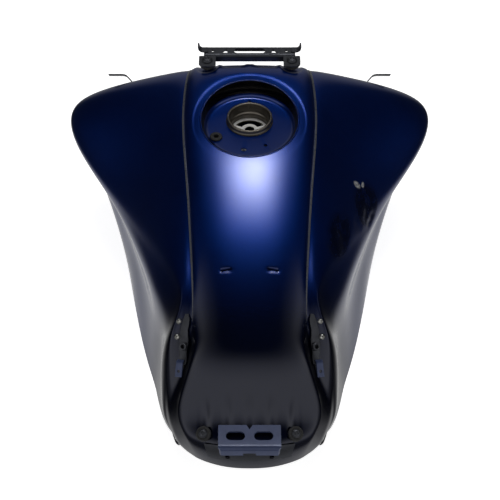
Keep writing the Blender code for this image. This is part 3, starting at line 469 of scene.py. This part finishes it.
# --- shapes ---------------------------------------------------------------------------------------
def turned(profile, steps=72):
    """(points, faces) of a profile (radius, height) turned about Z, closed unless it starts on the axis."""
    profile = np.array(profile, float)
    count = len(profile)
    angle = np.linspace(0, 2 * math.pi, steps, endpoint=False)[:, None]
    radius, height = profile[None, :, 0], profile[None, :, 1]
    points = np.stack([radius * np.cos(angle), radius * np.sin(angle), height + 0 * angle], -1)
    faces = []
    for i in range(steps):
        j = (i + 1) % steps
        for k in range(count if profile[0, 0] > 0 else count - 1):
            m = (k + 1) % count
            faces.append((i * count + k, j * count + k, j * count + m, i * count + m))
    return points.reshape(-1, 3), faces


def arced(path, radius, steps=4, closed=False):
    """A path with each corner replaced by an arc of about that radius."""
    path = [np.array(p, float) for p in path]
    made = []
    for i, p in enumerate(path):
        if not closed and i in (0, len(path) - 1):
            made.append(p)
            continue
        before, after = path[i - 1] - p, path[(i + 1) % len(path)] - p
        reach = min(radius, 0.45 * np.linalg.norm(before), 0.45 * np.linalg.norm(after))
        start, end = p + unit(before) * reach, p + unit(after) * reach
        for t in np.linspace(0, 1, steps + 1):
            made.append((1 - t) ** 2 * start + 2 * t * (1 - t) * p + t * t * end)
    return np.array(made)


def placed(points, spot, normal, lift=0.0, spin=0.0):
    """Points about the origin, turned so that Z lies along the normal, and moved to the spot."""
    z = unit(np.array(normal, float))
    x = unit(np.cross([0, 1, 0], z))
    y = np.cross(z, x)
    a = math.radians(spin)
    turn = np.stack([x * math.cos(a) + y * math.sin(a), -x * math.sin(a) + y * math.cos(a), z], 1)
    return np.asarray(points, float) @ turn.T + np.array(spot, float) + z * lift


def flat(outline, holes, low, high):
    """(points, faces) of a plate between two heights, with holes."""
    work = bmesh.new()
    for loop in [outline] + list(holes):
        ring = [work.verts.new((x, y, 0)) for x, y in loop]
        for a, b in zip(ring, ring[1:] + ring[:1]):
            work.edges.new((a, b))
    bmesh.ops.triangle_fill(work, use_beauty=True, use_dissolve=False, edges=work.edges[:])
    work.verts.index_update()
    spots = [(v.co.x, v.co.y) for v in work.verts]
    tris = [[v.index for v in f.verts] for f in work.faces]
    rims = [[v.index for v in e.verts] for e in work.edges if len(e.link_faces) == 1]
    work.free()
    count = len(spots)
    points = [(x, y, high) for x, y in spots] + [(x, y, low) for x, y in spots]
    faces = [tuple(t) for t in tris] + [tuple(i + count for i in reversed(t)) for t in tris]
    faces += [(a, b, b + count, a + count) for a, b in rims]
    return np.array(points), faces


def rounded(width, depth, radius, centre=(0, 0), steps=8):
    corners = []
    for sx, sy, start in ((1, 1, 0), (-1, 1, 90), (-1, -1, 180), (1, -1, 270)):
        cx, cy = centre[0] + sx * (width / 2 - radius), centre[1] + sy * (depth / 2 - radius)
        for i in range(steps + 1):
            a = math.radians(start + 90 * i / steps)
            corners.append((cx + radius * math.cos(a), cy + radius * math.sin(a)))
    return corners


def circle(radius, centre=(0, 0), steps=40):
    turn = np.linspace(0, 2 * math.pi, steps, endpoint=False)
    return [(centre[0] + radius * math.cos(a), centre[1] + radius * math.sin(a)) for a in turn]


def bent(path, width, thick, across):
    """(points, faces) of a strip along a path of points, its width along `across`."""
    path = [np.array(p, float) for p in path]
    across = unit(np.array(across, float))
    top, low = [], []
    for i, p in enumerate(path):
        before = unit(p - path[i - 1]) if i else unit(path[1] - p)
        after = unit(path[i + 1] - p) if i + 1 < len(path) else before
        normal = unit(np.cross(unit(before + after), across))
        reach = thick / 2 / max(0.5, abs(np.dot(unit(np.cross(before, across)), normal)))
        sides = [p + across * width / 2, p - across * width / 2]
        top.append([side + normal * reach for side in sides])
        low.append([side - normal * reach for side in sides])
    return closed_sheet(np.array(top), np.array(low))


def tool(points, faces):
    """A closed cutter in millimetres."""
    return piece("tool", points, faces, None, body=None, smooth=0)


def drill(radius, spot, normal=(0, 0, 1), reach=12, steps=40):
    points, faces = flat(circle(radius, steps=steps), [], -reach, reach)
    return tool(placed(points, spot, normal), faces)


# --- colours --------------------------------------------------------------------------------------
PAINT = tank_paint("tank_paint_coat")
SKIN_PAINT = tank_paint("tank_paint_skin", damage=True)
# the well's paint carries painted shade on its steep wall
WELL_SHADED_PAINT = tank_paint("tank_paint_well_shaded", well=True)
BARE = plain("bare_steel_worn", (0.165, 0.150, 0.130), 0.34, 1.0, grain=1.4, wear=0.25)
BLACKED = plain("blacked_steel_satin", (0.055, 0.058, 0.068), 0.42, 0.75, grain=1.1)
BRACKET = plain("bracket_paint_satin", (0.030, 0.044, 0.105), 0.42, 0.35, coat=0.3)
PLATED = plain("plated_steel_dull", (0.50, 0.50, 0.47), 0.32, 1.0, grain=1.2, wear=0.2)
RUBBER = plain("black_rubber_matt", (0.013, 0.013, 0.014), 0.72, 0.0, grain=0.9, grain_depth=0.06)
PLASTIC = plain(
    "black_plastic_moulded", (0.030, 0.030, 0.033), 0.5, 0.0, grain=1.6, grain_depth=0.05, wear=0.05,
)
TINNED = plain("tinned_steel_bright", (0.85, 0.84, 0.80), 0.50, 0.55, grain=1.2, wear=0.15)
PALE = plain("pale_plastic_moulded", (0.60, 0.57, 0.50), 0.45, 0.0, grain=1.0, wear=0.08)
# a lighter grey paint for the strips that stand for the painted highlight in each groove
GROOVE_HIGHLIGHT_LOOK = plain(
    "groove_painted_highlight", (0.066, 0.071, 0.086), 0.30, 0.0, grain=0.9, grain_depth=0.02, wear=0.05, coat=0.5
)
CAST = plain("pump_case_cast", (0.44, 0.45, 0.46), 0.42, 0.9, grain=0.8, grain_depth=0.08)

# --- the skin -------------------------------------------------------------------------------------
NET = skin_net()
half = spline_grid(NET, np.linspace(0, 1, SKIN_ALONG), np.linspace(0, 1, SKIN_ACROSS))
half[:, 0, 0] = 0
base = mirrored(half)
normals = grid_normals(base)
BASE_FLAT, NORMAL_FLAT = base.reshape(-1, 3), normals.reshape(-1, 3)


def on_skin(x, y, low=0.0):
    """The highest skin point over (x, y), and its normal."""
    near = np.hypot(BASE_FLAT[:, 0] - x, BASE_FLAT[:, 1] - y) < 1.8
    near &= BASE_FLAT[:, 2] > low
    best = np.flatnonzero(near)[np.argmax(BASE_FLAT[near][:, 2])]
    return BASE_FLAT[best], NORMAL_FLAT[best]


around = BASE_FLAT[(np.hypot(BASE_FLAT[:, 0], BASE_FLAT[:, 1] - FILLER_Y) < 68) & (BASE_FLAT[:, 2] > 180)]
terms = [
    np.ones(len(around)), around[:, 0] ** 2, around[:, 1], around[:, 1] ** 2,
    around[:, 0] ** 2 * around[:, 1],
]
CROWN = np.linalg.lstsq(np.stack(terms, 1), around[:, 2], rcond=None)[0]


def seat_drop(y):
    """Depth of the flat band for the filler cap below the crown of the spine."""
    return -0.40 - 0.40 * (y - FILLER_Y) / 64


def lip_height(x, y):
    return np.dot(CROWN, [1, x * x, y, y * y, x * x * y]) + seat_drop(y)


def slot_distance(grid, middle, lie, length, width):
    """Distance in plan from a rounded slot that lies along `lie`."""
    lie = unit(np.array([lie[0], lie[1]], float))
    away = grid[..., :2] - np.array(middle[:2], float)
    along = np.abs(away @ lie) - (length - width) / 2
    across = np.abs(away @ np.array([-lie[1], lie[0]]))
    return np.hypot(np.maximum(along, 0), across) - width / 2


SLIT_X, SLIT_Y = 27.0, -75.0
FLUTES = (-49.5, -24.8, 0.0, 24.8, 49.5)
FLUTE_HALF, FLUTE_DEPTH = 10.5, 2.2
# dents along the lower edge of the right wing: middle, reach and depth
DENTS = (
    ((147, 58, 129), 22, 1.7), ((134, 36, 141), 16, 1.0), ((111, -2, 155), 19, 1.5),
    ((97, -24, 161), 14, 0.9),
)
SLOT_ENDS = {side: (on_skin(side * 112.0, 236.0)[0], on_skin(side * 176.0, 246.0)[0]) for side in (-1, 1)}
x, y, z = base[..., 0], base[..., 1], base[..., 2]
lift = np.zeros(x.shape)
ring = np.hypot(x, y - FILLER_Y)
lift += seat_drop(y) * smoothstep(69.2, 67.2, ring) * (z > 180)
for centre in FLUTES:
    hollow = 0.5 + 0.5 * np.cos(math.pi * np.clip((x - centre) / FLUTE_HALF, -1, 1))
    lift -= FLUTE_DEPTH * hollow**1.5 * smoothstep(-186, -212, y) * smoothstep(-228, -220, y) * (z > 60)
for side in (-1, 1):
    ear = np.hypot(x - side * 52.5, (y - 212.5) / 1.15)
    lift -= 1.5 * smoothstep(15.5, 12.0, ear) * (z > 200)
    flat_x = np.abs(x - side * 21)
    lift -= 1.3 * smoothstep(16, 12.5, flat_x) * smoothstep(203, 207, y) * smoothstep(226, 222, y) * (z > 200)
    slit = slot_distance(base, (side * SLIT_X, SLIT_Y), (1, side * 0.05), 13, 2.4)
    lift -= 0.8 * np.clip(1 - slit / 2.0, 0, 1) ** 2 * (z > 140)
    first, last = SLOT_ENDS[side]
    gap = slot_distance(base, (first + last) / 2, last - first, 66, 2.6)
    lift -= 0.9 * np.clip(1 - gap / 2.6, 0, 1) ** 2 * (z > 120)
for spot, reach, depth in DENTS:
    away = np.linalg.norm((base - np.array(spot, float)) / [1, 1.25, 1], axis=-1)
    crumple = 1 + 0.45 * np.sin(0.42 * (x + z)) * np.sin(0.27 * y + 0.1 * x)
    lift -= depth * crumple * smoothstep(reach, 0, away)
outside = base + normals * lift[..., None]
inside = outside - grid_normals(outside) * SHEET
inside[..., 2] = np.maximum(inside[..., 2], outside[..., 2].min())
skin = piece(
    "tank_skin", *closed_sheet(outside, inside), SKIN_PAINT, slot="tank_paint", stands_for=["outer_shell"],
    smooth=50,
)
openings = [drill(RECESS_R, (0, FILLER_Y, 225), reach=60, steps=192)]
for side in (-1, 1):
    spot, normal = on_skin(side * SLIT_X, SLIT_Y)
    points, faces = flat(rounded(13, 2.2, 1.05), [], -9, 9)
    openings.append(tool(placed(points, spot, (0, 0.21, 0.98), spin=side * -3), faces))
    first, last = SLOT_ENDS[side]
    lie = unit(last - first)
    points, faces = flat(rounded(66, 2.4, 1.15), [], -14, 16)
    a, b = math.atan2(lie[1], lie[0]), math.asin(-lie[2])
    tilt = np.array(Matrix.Rotation(a, 3, "Z") @ Matrix.Rotation(b, 3, "Y"))
    openings.append(tool(points @ tilt.T + (first + last) / 2, faces))
cut(skin, openings)

# --- the seam along the lower edge ----------------------------------------------------------------
HEM_START = 0.86
HEM_ROLL = np.array([0.1, 0.5, 0.8, 1.0, 1.1, 1.0, 0.8])
hem_us = np.linspace(HEM_START, 1, 140)
hem_half = spline_grid(NET, hem_us, np.linspace(0.976, 1.0, 7))
hem_out = grid_normals(mirrored(spline_grid(NET, hem_us, np.linspace(0, 1, 60))))[:, -7:]
for side, name in SIDES:
    flip = np.array([side, 1, 1])
    fade_in = smoothstep(HEM_START, HEM_START + 0.04, hem_us)
    roll = 0.4 + HEM_ROLL[:, None] * fade_in[:, None, None]
    top, low = hem_half + hem_out * roll, hem_half + hem_out * 0.25
    top[:, -1, 2] = low[:, -1, 2] = np.maximum(hem_half[:, -1, 2], 0.2)
    piece(f"lower_seam_{name}", *closed_sheet(top * flip, low * flip), BLACKED, slot="tank_paint", bevel=0.3)

# --- the filler -----------------------------------------------------------------------------------
WELL_STEPS = 192
rows = []
# the floor meets the wall in a wide arc, and the wall ends in a rolled rim that follows the flat band
for angle in np.linspace(0, 2 * math.pi, WELL_STEPS, endpoint=False):
    c, s = math.cos(angle), math.sin(angle)
    lip = float(lip_height(59 * c, FILLER_Y + 59 * s))
    line = [(27, FLOOR_Z), (53.6, FLOOR_Z), (57.9, lip - 1.2), (58.5, lip + 0.75), (59.6, lip + 0.3)]
    line += [
        (59.6, lip - 1.2), (59.2, lip - 3.0), (56.8, FLOOR_Z), (54, FLOOR_Z - SHEET), (27, FLOOR_Z - SHEET),
    ]
    line = arced(line, 1.6, 3)
    line[1:5] = arced([(27, FLOOR_Z), (53.6, FLOOR_Z), (57.9, lip - 1.2)], 4.5, 3)[1:5]
    line = np.insert(line, 5, [line[4] + (line[5] - line[4]) * t for t in (0.1, 0.5, 0.9)], axis=0)
    ring_points = [(r * c, FILLER_Y + r * s, h) for r, h in line]
    for end in (0, -1):
        ring_points[end] = (26.4 * c, NECK_Y + 26.4 * s, ring_points[end][2])
    rows.append(ring_points)
well_rows = np.array(rows)
well_faces = grid_faces(len(rows) + 1, len(rows[0]), wrap=True)
well_faces = [tuple(i % well_rows[..., 0].size for i in f) for f in well_faces]
well = piece(
    "filler_well", well_rows, well_faces, WELL_SHADED_PAINT, slot="tank_paint", stands_for=["filler_cup"], smooth=40,
)
# holes in the filler floor: the places of the drain, the breather and the two screws
DRAIN, BREATHER = (-40.0, 99.0), (19.0, 85.0)
SCREWS = {"front": (0.0, 164.5), "rear": (-6.7, 77.5)}
FLOOR_HOLES = ((5.6, DRAIN), (2.2, BREATHER), (2.4, SCREWS["front"]), (3.2, SCREWS["rear"]))
cut(well, [drill(r, (*at, FLOOR_Z), reach=6) for r, at in FLOOR_HOLES])

# the neck: a rolled rim, a plain outside and a stepped bore
throat = arced(
    [(24.2, 226.0), (24.9, 227.1), (26.7, 227.1), (27.6, 226.1), (27.6, 224.5), (26.4, 223.8)], 0.6, 3,
)
skirt = arced(
    [(26.4, 222.2), (27.2, 220.9), (28.7, 220.3), (26.0, 220.3), (26.0, 204), (25.0, 202.3)], 0.5, 3,
)
bore = arced([(19.0, 202.4), (19.2, 203.9), (22.6, 204.7), (22.6, 212), (24.3, 214.2), (24.2, 226.0)], 0.8, 3)
points, faces = turned(np.concatenate([throat, skirt, bore[:-1]]), 128)
throat_piece = piece(
    "filler_throat", points + [0, NECK_Y, 0], faces, BARE, slot="bare_steel", stands_for=["filler_neck"],
    smooth=35,
)
seam = flat(rounded(1.1, 1.4, 0.3, (0, 24.4), 3), [], 214.5, 226.0)
cut(throat_piece, [tool(seam[0] + [0, NECK_Y, 0], seam[1])])
# the baffle in the neck: a centre hole between two kidney slots
kidneys = []
for middle in (90, 270):
    sweep = [math.radians(middle + a) for a in np.linspace(-62, 62, 24)]
    outline = [(19.5 * math.cos(a), 17.5 * math.sin(a)) for a in sweep]
    outline += [(10.5 * math.cos(a), 10.5 * math.sin(a)) for a in reversed(sweep)]
    kidneys.append(outline)
points, faces = flat(circle(22.3, steps=96), [circle(5.8), *kidneys], 0, 1.2)
piece(
    "throat_baffle", points + [0, NECK_Y, 205.0], faces, TINNED, slot="plated_steel",
    stands_for=["neck_baffle"], bevel=0.3,
)
seal = arced(
    [
        (3.2, 214), (5.2, 214), (5.2, 220.4), (7.6, 220.4), (7.3, 222.2), (5.6, 222.9), (3.2, 222.6),
        (3.2, 214),
    ], 0.6, 3,
)
points, faces = turned(seal[:-1], 48)
piece("drain_seal", points + [*DRAIN, 0], faces, RUBBER, slot="black_rubber", stands_for=["drain_grommet"])

# --- the front stay -------------------------------------------------------------------------------
STAY_Y, STAY_Z, STAY_HALF = 222.0, 247.0, 57.0
DAMPER_X, DAMPER_Y = 52.5, 211.5
path = [
    (0, STAY_Y, STAY_Z - 9), (0, STAY_Y, STAY_Z), (0, STAY_Y + 16, STAY_Z), (0, STAY_Y + 16, STAY_Z - 5.5),
]
channel = piece(
    "stay_channel",
    *bent(arced(path, 2.4, 5), 2 * STAY_HALF, 2.0, (1, 0, 0)),
    BLACKED,
    slot="blacked_steel",
    stands_for=["front_channel"],
    bevel=0.35,
)
web_cuts = []
points, faces = flat(rounded(39, 9, 4.4), [], -4, 4)
web_cuts.append(tool(points + [0, STAY_Y + 8, STAY_Z], faces))
for side in (-1, 1):
    corners = [(side * 27, -4), (side * 35, -4), (side * 29, 4)]
    corners = arced([(px, py, 0) for px, py in corners], 0.9, 3, closed=True)
    points, faces = flat([(p[0], p[1]) for p in corners], [], -4, 4)
    web_cuts.append(tool(points + [0, STAY_Y + 8, STAY_Z], faces))
    web_cuts.append(drill(2.1, (side * 46, STAY_Y + 8, STAY_Z), reach=4))
cut(channel, web_cuts)
for side, name in SIDES:
    hook = [(side * px, STAY_Y + 8, STAY_Z + pz) for px, pz in ((52, 2.3), (60, 2.3), (63, 5), (63.6, 10))]
    piece(
        f"stay_hook_{name}", *bent(arced(hook, 2, 4), 9, 1.8, (0, 1, 0)), BLACKED, slot="blacked_steel",
        stands_for=[f"front_hook_{name}"], bevel=0.3,
    )
    outline = arced(
        [
            (side * px, py, 0)
            for px, py in ((-10.5, -11.5), (6.5, -11.5), (10.5, -7), (10.5, 9.2), (-10.5, 9.2))
        ], 1.8, 4, closed=True,
    )
    points, faces = flat([(p[0], p[1]) for p in outline], [circle(3.2)], 0, 2)
    piece(
        f"stay_leg_{name}", points + [side * DAMPER_X, DAMPER_Y, STAY_Z - 1.7], faces, BLACKED,
        slot="blacked_steel", stands_for=[f"front_leg_{name}"], bevel=0.35,
    )
    heights = [
        on_skin(side * DAMPER_X + dx, DAMPER_Y + dy)[0][2]
        for dx, dy in ((0, 0), (9, 0), (-9, 0), (0, 8), (0, -8))
    ]
    seat = max(heights) - 0.8
    top = STAY_Z - 2
    damper = [
        (3.3, seat), (8.8, seat), (9.5, seat + 0.8), (8.0, (seat + top) / 2), (9.4, top - 1), (8.6, top),
        (3.3, top), (3.3, seat),
    ]
    damper = arced(damper, 0.9, 4)
    points, faces = turned(damper[:-1], 48)
    piece(
        f"stay_damper_{name}", points + [side * DAMPER_X, DAMPER_Y, 0], faces, RUBBER, slot="black_rubber",
        stands_for=[f"front_damper_{name}"],
    )
    screw = [
        (0, seat + 0.6), (2.8, seat + 0.6), (2.8, top + 2.6), (6.5, top + 2.6), (6.6, top + 3.6),
        (4.6, top + 5.8),
    ]
    screw = arced(screw + [(2.4, top + 6.3), (2.2, top + 4.9), (0, top + 4.7)], 0.5, 3)
    points, faces = turned(screw, 48)
    piece(
        f"stay_bolt_{name}", points + [side * DAMPER_X, DAMPER_Y, 0], faces, BLACKED, slot="plated_steel",
        stands_for=[f"front_bolt_{name}"],
    )

    # --- the tab on the front of the wing
    root = on_skin(side * 150.0, 250.0)[0]
    start = root + np.array([side * 1.0, 2.6, 3.4])
    line = [start, start + np.array([side * 3, 2, 4]), start + np.array([side * 9, 6.5, 8.5])]
    line += [start + np.array([side * 13, 7, 9.5]), start + np.array([side * 32, 7, 9.5])]
    piece(
        f"wing_tab_{name}", *bent(arced(line, 2.2, 4), 13, 1.4, (0, 0.682, -0.731)), BLACKED,
        slot="blacked_steel", stands_for=[f"side_tab_{name}"], bevel=0.3,
    )

# --- the side pockets -----------------------------------------------------------------------------
PATCH_LOW, PATCH_HIGH = 1.4, 2.8


def patch(us, v_inner, v_outer, cols, low, high, whole=False):
    """Two grids that follow the skin between two lines across it, held off it by `low` and `high`."""
    grid = np.array(
        [spline_grid(NET, [u], np.linspace(a, b, cols))[0] for u, a, b in zip(us, v_inner, v_outer)]
    )
    if whole:
        grid[:, 0, 0] = 0
        grid = mirrored(grid)
    turned_out = np.cross(np.gradient(grid, axis=0), np.gradient(grid, axis=1))
    turned_out /= np.linalg.norm(turned_out, axis=2, keepdims=True)
    middle = grid[len(grid) // 2, grid.shape[1] // 2]
    if np.dot(turned_out[len(grid) // 2, grid.shape[1] // 2], middle - np.array([0, -60, 60.0])) < 0:
        turned_out = -turned_out
    return grid + turned_out * high, grid + turned_out * low


# The grey line along each groove: a painted highlight, a lighter strip laid on the skin along the groove's
# bottom.
STRIP_START, STRIP_END = 0.13, 0.60
strip_us = np.linspace(STRIP_START, STRIP_END, 220)
narrow = smoothstep(STRIP_START, 0.17, strip_us) * smoothstep(STRIP_END, 0.50, strip_us)
for side, name in SIDES:
    flip = np.array([side, 1, 1])
    top, low = patch(strip_us, 0.292 - 0.022 * narrow, 0.296 + 0.026 * narrow, 7, 0.15, 0.45)
    piece(f"groove_highlight_strip_{name}", *closed_sheet(top * flip, low * flip), GROOVE_HIGHLIGHT_LOOK, slot="tank_paint")

PLATE_U = (0.585, 0.685)
PLATE_INNER = [0.375, 0.345, 0.352, 0.372, 0.366, 0.345, 0.35, 0.37, 0.362, 0.345, 0.352]
PLATE_OUTER = [0.44, 0.475, 0.49, 0.5, 0.5, 0.5, 0.495, 0.49, 0.48, 0.47, 0.45]
for side, name in SIDES:
    us = np.linspace(*PLATE_U, 81)
    known = np.linspace(*PLATE_U, len(PLATE_INNER))
    top, low = patch(
        us, np.interp(us, known, PLATE_INNER), np.interp(us, known, PLATE_OUTER), 17, PATCH_LOW, PATCH_HIGH,
    )
    flip = np.array([side, 1, 1])
    piece(
        f"pocket_sheet_{name}", *closed_sheet(top * flip, low * flip), BLACKED, slot="blacked_steel",
        stands_for=[f"pocket_plate_{name}"], bevel=0.3,
    )
    for index, (px, py) in enumerate(((79.5, -119.0), (80.5, -131.0))):
        spot, normal = on_skin(side * px, py, 60)
        points, faces = turned(
            arced([(0, 0), (3.0, 0), (3.0, 1.2), (1.9, 2.0), (1.9, 6.0), (1.2, 6.8), (0, 6.8)], 0.35, 3), 32,
        )
        points = placed(points, spot, normal, PATCH_HIGH + GAP)
        piece(
            f"pocket_stud_{name}_{index + 1}", points, faces, PLATED, slot="plated_steel",
            stands_for=[f"pocket_pin_{name}_{index + 1}"],
        )
    spot, normal = on_skin(side * 73.0, -140.0, 60)
    hexagon = circle(8.5 / 2 / math.cos(math.pi / 6), steps=6)
    points, faces = flat(hexagon, [circle(2.4)], 0, 5)
    points = placed(points, spot, normal, PATCH_HIGH + 3 * GAP)
    piece(
        f"pocket_hex_{name}", points, faces, BLACKED, slot="blacked_steel", stands_for=[f"pocket_nut_{name}"],
        bevel=0.5,
    )
    spot, normal = on_skin(side * 77.0, -150.0, 60)
    lie = np.array([side * 0.1, -0.8, -0.6])
    lie = unit(lie - normal * np.dot(lie, normal))
    line = [
        spot + normal * 4.1, spot + normal * 5.4 + lie * 1.0, spot + normal * 6.4 + lie * 3.0,
        spot + normal * 7.4 + lie * 19.0,
    ]
    tab = piece(
        f"pocket_lug_{name}", *bent(
            arced(line, 1.2, 3), 8.4, 1.5, np.cross(lie, normal),
        ), BRACKET, slot="bracket_paint",
        stands_for=[f"pocket_tab_{name}"], bevel=0.35,
    )
    cut(tab, [drill(1.9, spot + normal * 7 + lie * 12.5, normal, reach=8)])

# --- the rear bracket -----------------------------------------------------------------------------
REAR_Y, REAR_Z = -232.0, 78.0
path = [
    (0, REAR_Y + 13.5, REAR_Z), (0, REAR_Y - 14, REAR_Z), (0, REAR_Y - 17, REAR_Z - 2),
    (0, REAR_Y - 17.6, REAR_Z - 11),
]
rear = piece(
    "seat_bracket", *bent(arced(path, 2.2, 5), 69, 2.2, (1, 0, 0)), BRACKET, slot="bracket_paint",
    stands_for=["rear_bracket"], bevel=0.4,
)
rear_cuts = []
for side in (-1, 1):
    points, faces = flat(rounded(21, 11.5, 5.4), [], -5, 5)
    rear_cuts.append(tool(points + [side * 15.5, REAR_Y - 1, REAR_Z], faces))
    corner = arced(
        [(side * 40, -30, 0), (side * 40, -14, 0), (side * 33, -15.5, 0), (side * 26, -30, 0)], 4, 5,
        closed=True,
    )
    points, faces = flat([(p[0], p[1]) for p in corner], [], -16, 5)
    rear_cuts.append(tool(points + [0, REAR_Y, REAR_Z - 5], faces))
points, faces = flat([(-5, 16), (0, 7.5), (5, 16)], [], -5, 5)
rear_cuts.append(tool(points + [0, REAR_Y, REAR_Z], faces))
points, faces = flat(rounded(14, 12, 3), [], -20, -4)
rear_cuts.append(tool(points + [0, REAR_Y - 17.6, REAR_Z - 3.4], faces))
cut(rear, rear_cuts)
us = np.linspace(0.935, 0.978, 17)
top, low = patch(us, [0.0] * 17, [0.118] * 17, 30, PATCH_LOW, PATCH_HIGH, whole=True)
plate = piece(
    "seat_plate", *closed_sheet(top, low), BLACKED, slot="blacked_steel", stands_for=["rear_plate"],
    bevel=0.3,
)
plate_holes = []
for side, name in SIDES:
    plate_holes.append(drill(2.6, (side * 24.5, -244, 55), (0, 1, 0.01), reach=6))
    spot, normal = on_skin(side * 50.0, -226.0, 40)
    points, faces = turned(
        arced(
            [(3.0, -0.4), (7.8, 0.4), (8.6, 1.4), (8.4, 5.0), (7.4, 6.0), (3.0, 6.0), (3.0, -0.4)], 0.8, 4,
        )[:-1], 56,
    )
    piece(
        f"seat_grommet_{name}", placed(points, spot, normal, 1.6), faces, RUBBER, slot="black_rubber",
        stands_for=[f"rear_grommet_{name}"],
    )
    screw = arced(
        [
            (0, 2), (2.6, 2), (2.6, 8.0), (5.0, 8.0), (5.2, 9.2), (3.6, 10.8), (1.8, 11.2), (1.6, 10.0),
            (0, 9.8),
        ], 0.4, 3,
    )
    points, faces = turned(screw, 48)
    piece(
        f"seat_bolt_{name}", placed(points, spot, normal), faces, BLACKED, slot="plated_steel",
        stands_for=[f"rear_bolt_{name}"],
    )
cut(plate, plate_holes)

# --- the parts that keep their own shape ----------------------------------------------------------
FINISHES = {
    "tank_paint": PAINT,
    "bare_steel": BARE,
    "blacked_steel": BLACKED,
    "bracket_paint": BRACKET,
    "plated_steel": PLATED,
    "black_rubber": RUBBER,
    "pump_plastic": PLASTIC,
    "pale_plastic": PALE,
    "pump_case": CAST,
}
for name, node in frame["nodes"].items():
    if node.hide_render:
        continue
    for place in node.material_slots:
        held = place.material.name.split(".")[0]
        place.material = FINISHES[held]
    edge = node.modifiers.new("edge", "BEVEL")
    edge.width = 0.25 * MM
    edge.segments = 2
    edge.limit_method = "ANGLE"
    edge.angle_limit = math.radians(40)

# --- the light ------------------------------------------------------------------------------------
world = bpy.data.worlds.new("studio")
bpy.context.scene.world = world
world.use_nodes = True
nodes, links = world.node_tree.nodes, world.node_tree.links
background = nodes["Background"]
direction = nodes.new("ShaderNodeTexCoord")
parts = nodes.new("ShaderNodeSeparateXYZ")
links.new(direction.outputs["Generated"], parts.inputs[0])


def world_math(operation, first, second=0.0):
    made = nodes.new("ShaderNodeMath")
    made.operation = operation
    for place, value in zip(made.inputs, (first, second)):
        if isinstance(value, bpy.types.NodeSocket):
            links.new(value, place)
        else:
            place.default_value = value
    return made.outputs[0]


def world_step(value, low, high):
    made = nodes.new("ShaderNodeMapRange")
    made.interpolation_type = "SMOOTHSTEP"
    links.new(value, made.inputs["Value"])
    made.inputs["From Min"].default_value = low
    made.inputs["From Max"].default_value = high
    return made.outputs["Result"]


def world_ramp(stops):
    made = nodes.new("ShaderNodeValToRGB")
    links.new(parts.outputs["Z"], made.inputs["Fac"])
    while len(made.color_ramp.elements) < len(stops):
        made.color_ramp.elements.new(0.5)
    for stop, (place, value) in zip(made.color_ramp.elements, stops):
        stop.position = place
        stop.color = (value, value, value, 1)
    return made.outputs["Color"]


# White panels stand behind the tank and in front of it, over a pale ground. The room around them is dark.
east, north, up = parts.outputs["X"], parts.outputs["Y"], parts.outputs["Z"]
plan = world_math(
    "SQRT", world_math("ADD", world_math("MULTIPLY", east, east), world_math("MULTIPLY", north, north)),
)
rearward = world_math("MULTIPLY", world_math("DIVIDE", north, world_math("MAXIMUM", plan, 0.001)), -1.0)
rear_panel = world_ramp(
    [
        (0.0, 0.10), (0.20, 0.25), (0.38, 0.80), (0.52, 0.80), (0.68, 0.48), (0.80, 0.18), (0.90, 0.01),
        (1.0, 0.0),
    ]
)
front_panel = world_ramp([(0.0, 0.20), (0.30, 0.30), (0.58, 0.26), (0.68, 0.0), (1.0, 0.0)])
side_panel = world_ramp([(0.0, 0.014), (0.35, 0.010), (1.0, 0.006)])
ground = world_math("MULTIPLY", world_step(up, -0.40, -0.72), 0.45)
light_of = world_math(
    "ADD", world_math("MULTIPLY", rear_panel, world_step(rearward, -0.08, 0.18)), side_panel,
)
front_share = world_step(world_math("MULTIPLY", rearward, -1.0), 0.80, 0.97)
light_of = world_math("ADD", light_of, world_math("MULTIPLY", front_panel, front_share))
light_of = world_math("ADD", light_of, ground)

# The soft light overhead is wider than it is deep, and fades at its edges.
wide = world_math("DIVIDE", world_math("SUBTRACT", east, 0.028), 0.125)
deep = world_math("DIVIDE", world_math("SUBTRACT", north, 0.275), 0.080)
reach = world_math("ADD", world_math("MULTIPLY", wide, wide), world_math("MULTIPLY", deep, deep))
fade = world_math("POWER", 2.718, world_math("MULTIPLY", world_math("POWER", reach, 0.72), -1.0))
soft_light = world_math("MULTIPLY", world_math("MULTIPLY", fade, world_step(up, 0.0, 0.4)), 24.0)
links.new(world_math("ADD", light_of, soft_light), background.inputs["Color"])
background.inputs["Strength"].default_value = 1.0

floor_mesh = bpy.data.meshes.new("floor")
floor_mesh.from_pydata(
    [(-9, -9, -0.0005), (9, -9, -0.0005), (9, 9, -0.0005), (-9, 9, -0.0005)], [], [(0, 1, 2, 3)],
)
floor = bpy.data.objects.new("floor", floor_mesh)
bpy.context.scene.collection.objects.link(floor)
floor_look = bpy.data.materials.new("studio_floor")
floor_look.use_nodes = True
floor_shader = floor_look.node_tree.nodes["Principled BSDF"]
floor_shader.inputs["Base Color"].default_value = (0.9, 0.9, 0.9, 1)
floor_shader.inputs["Roughness"].default_value = 0.9
floor_shader.inputs["Emission Color"].default_value = (1, 1, 1, 1)
floor_shader.inputs["Emission Strength"].default_value = 0.85
floor_mesh.materials.append(floor_look)
floor.visible_glossy = False

# --- the camera -----------------------------------------------------------------------------------
camera_data = bpy.data.cameras.new("camera")
camera_data.lens = 90.0
camera_data.sensor_width = 36.0
camera_data.shift_x = 0.0008
camera_data.shift_y = 0.010
camera = bpy.data.objects.new("camera", camera_data)
bpy.context.scene.collection.objects.link(camera)
ELEVATION, TARGET, DISTANCE = math.radians(47.0), Vector((0.0, -0.0065, 0.120)), 1.5
camera.location = TARGET + Vector((0, -math.cos(ELEVATION), math.sin(ELEVATION))) * DISTANCE
camera.rotation_euler = (math.pi / 2 - ELEVATION, 0, 0)
bpy.context.scene.camera = camera
bpy.context.scene.view_settings.view_transform = "Standard"
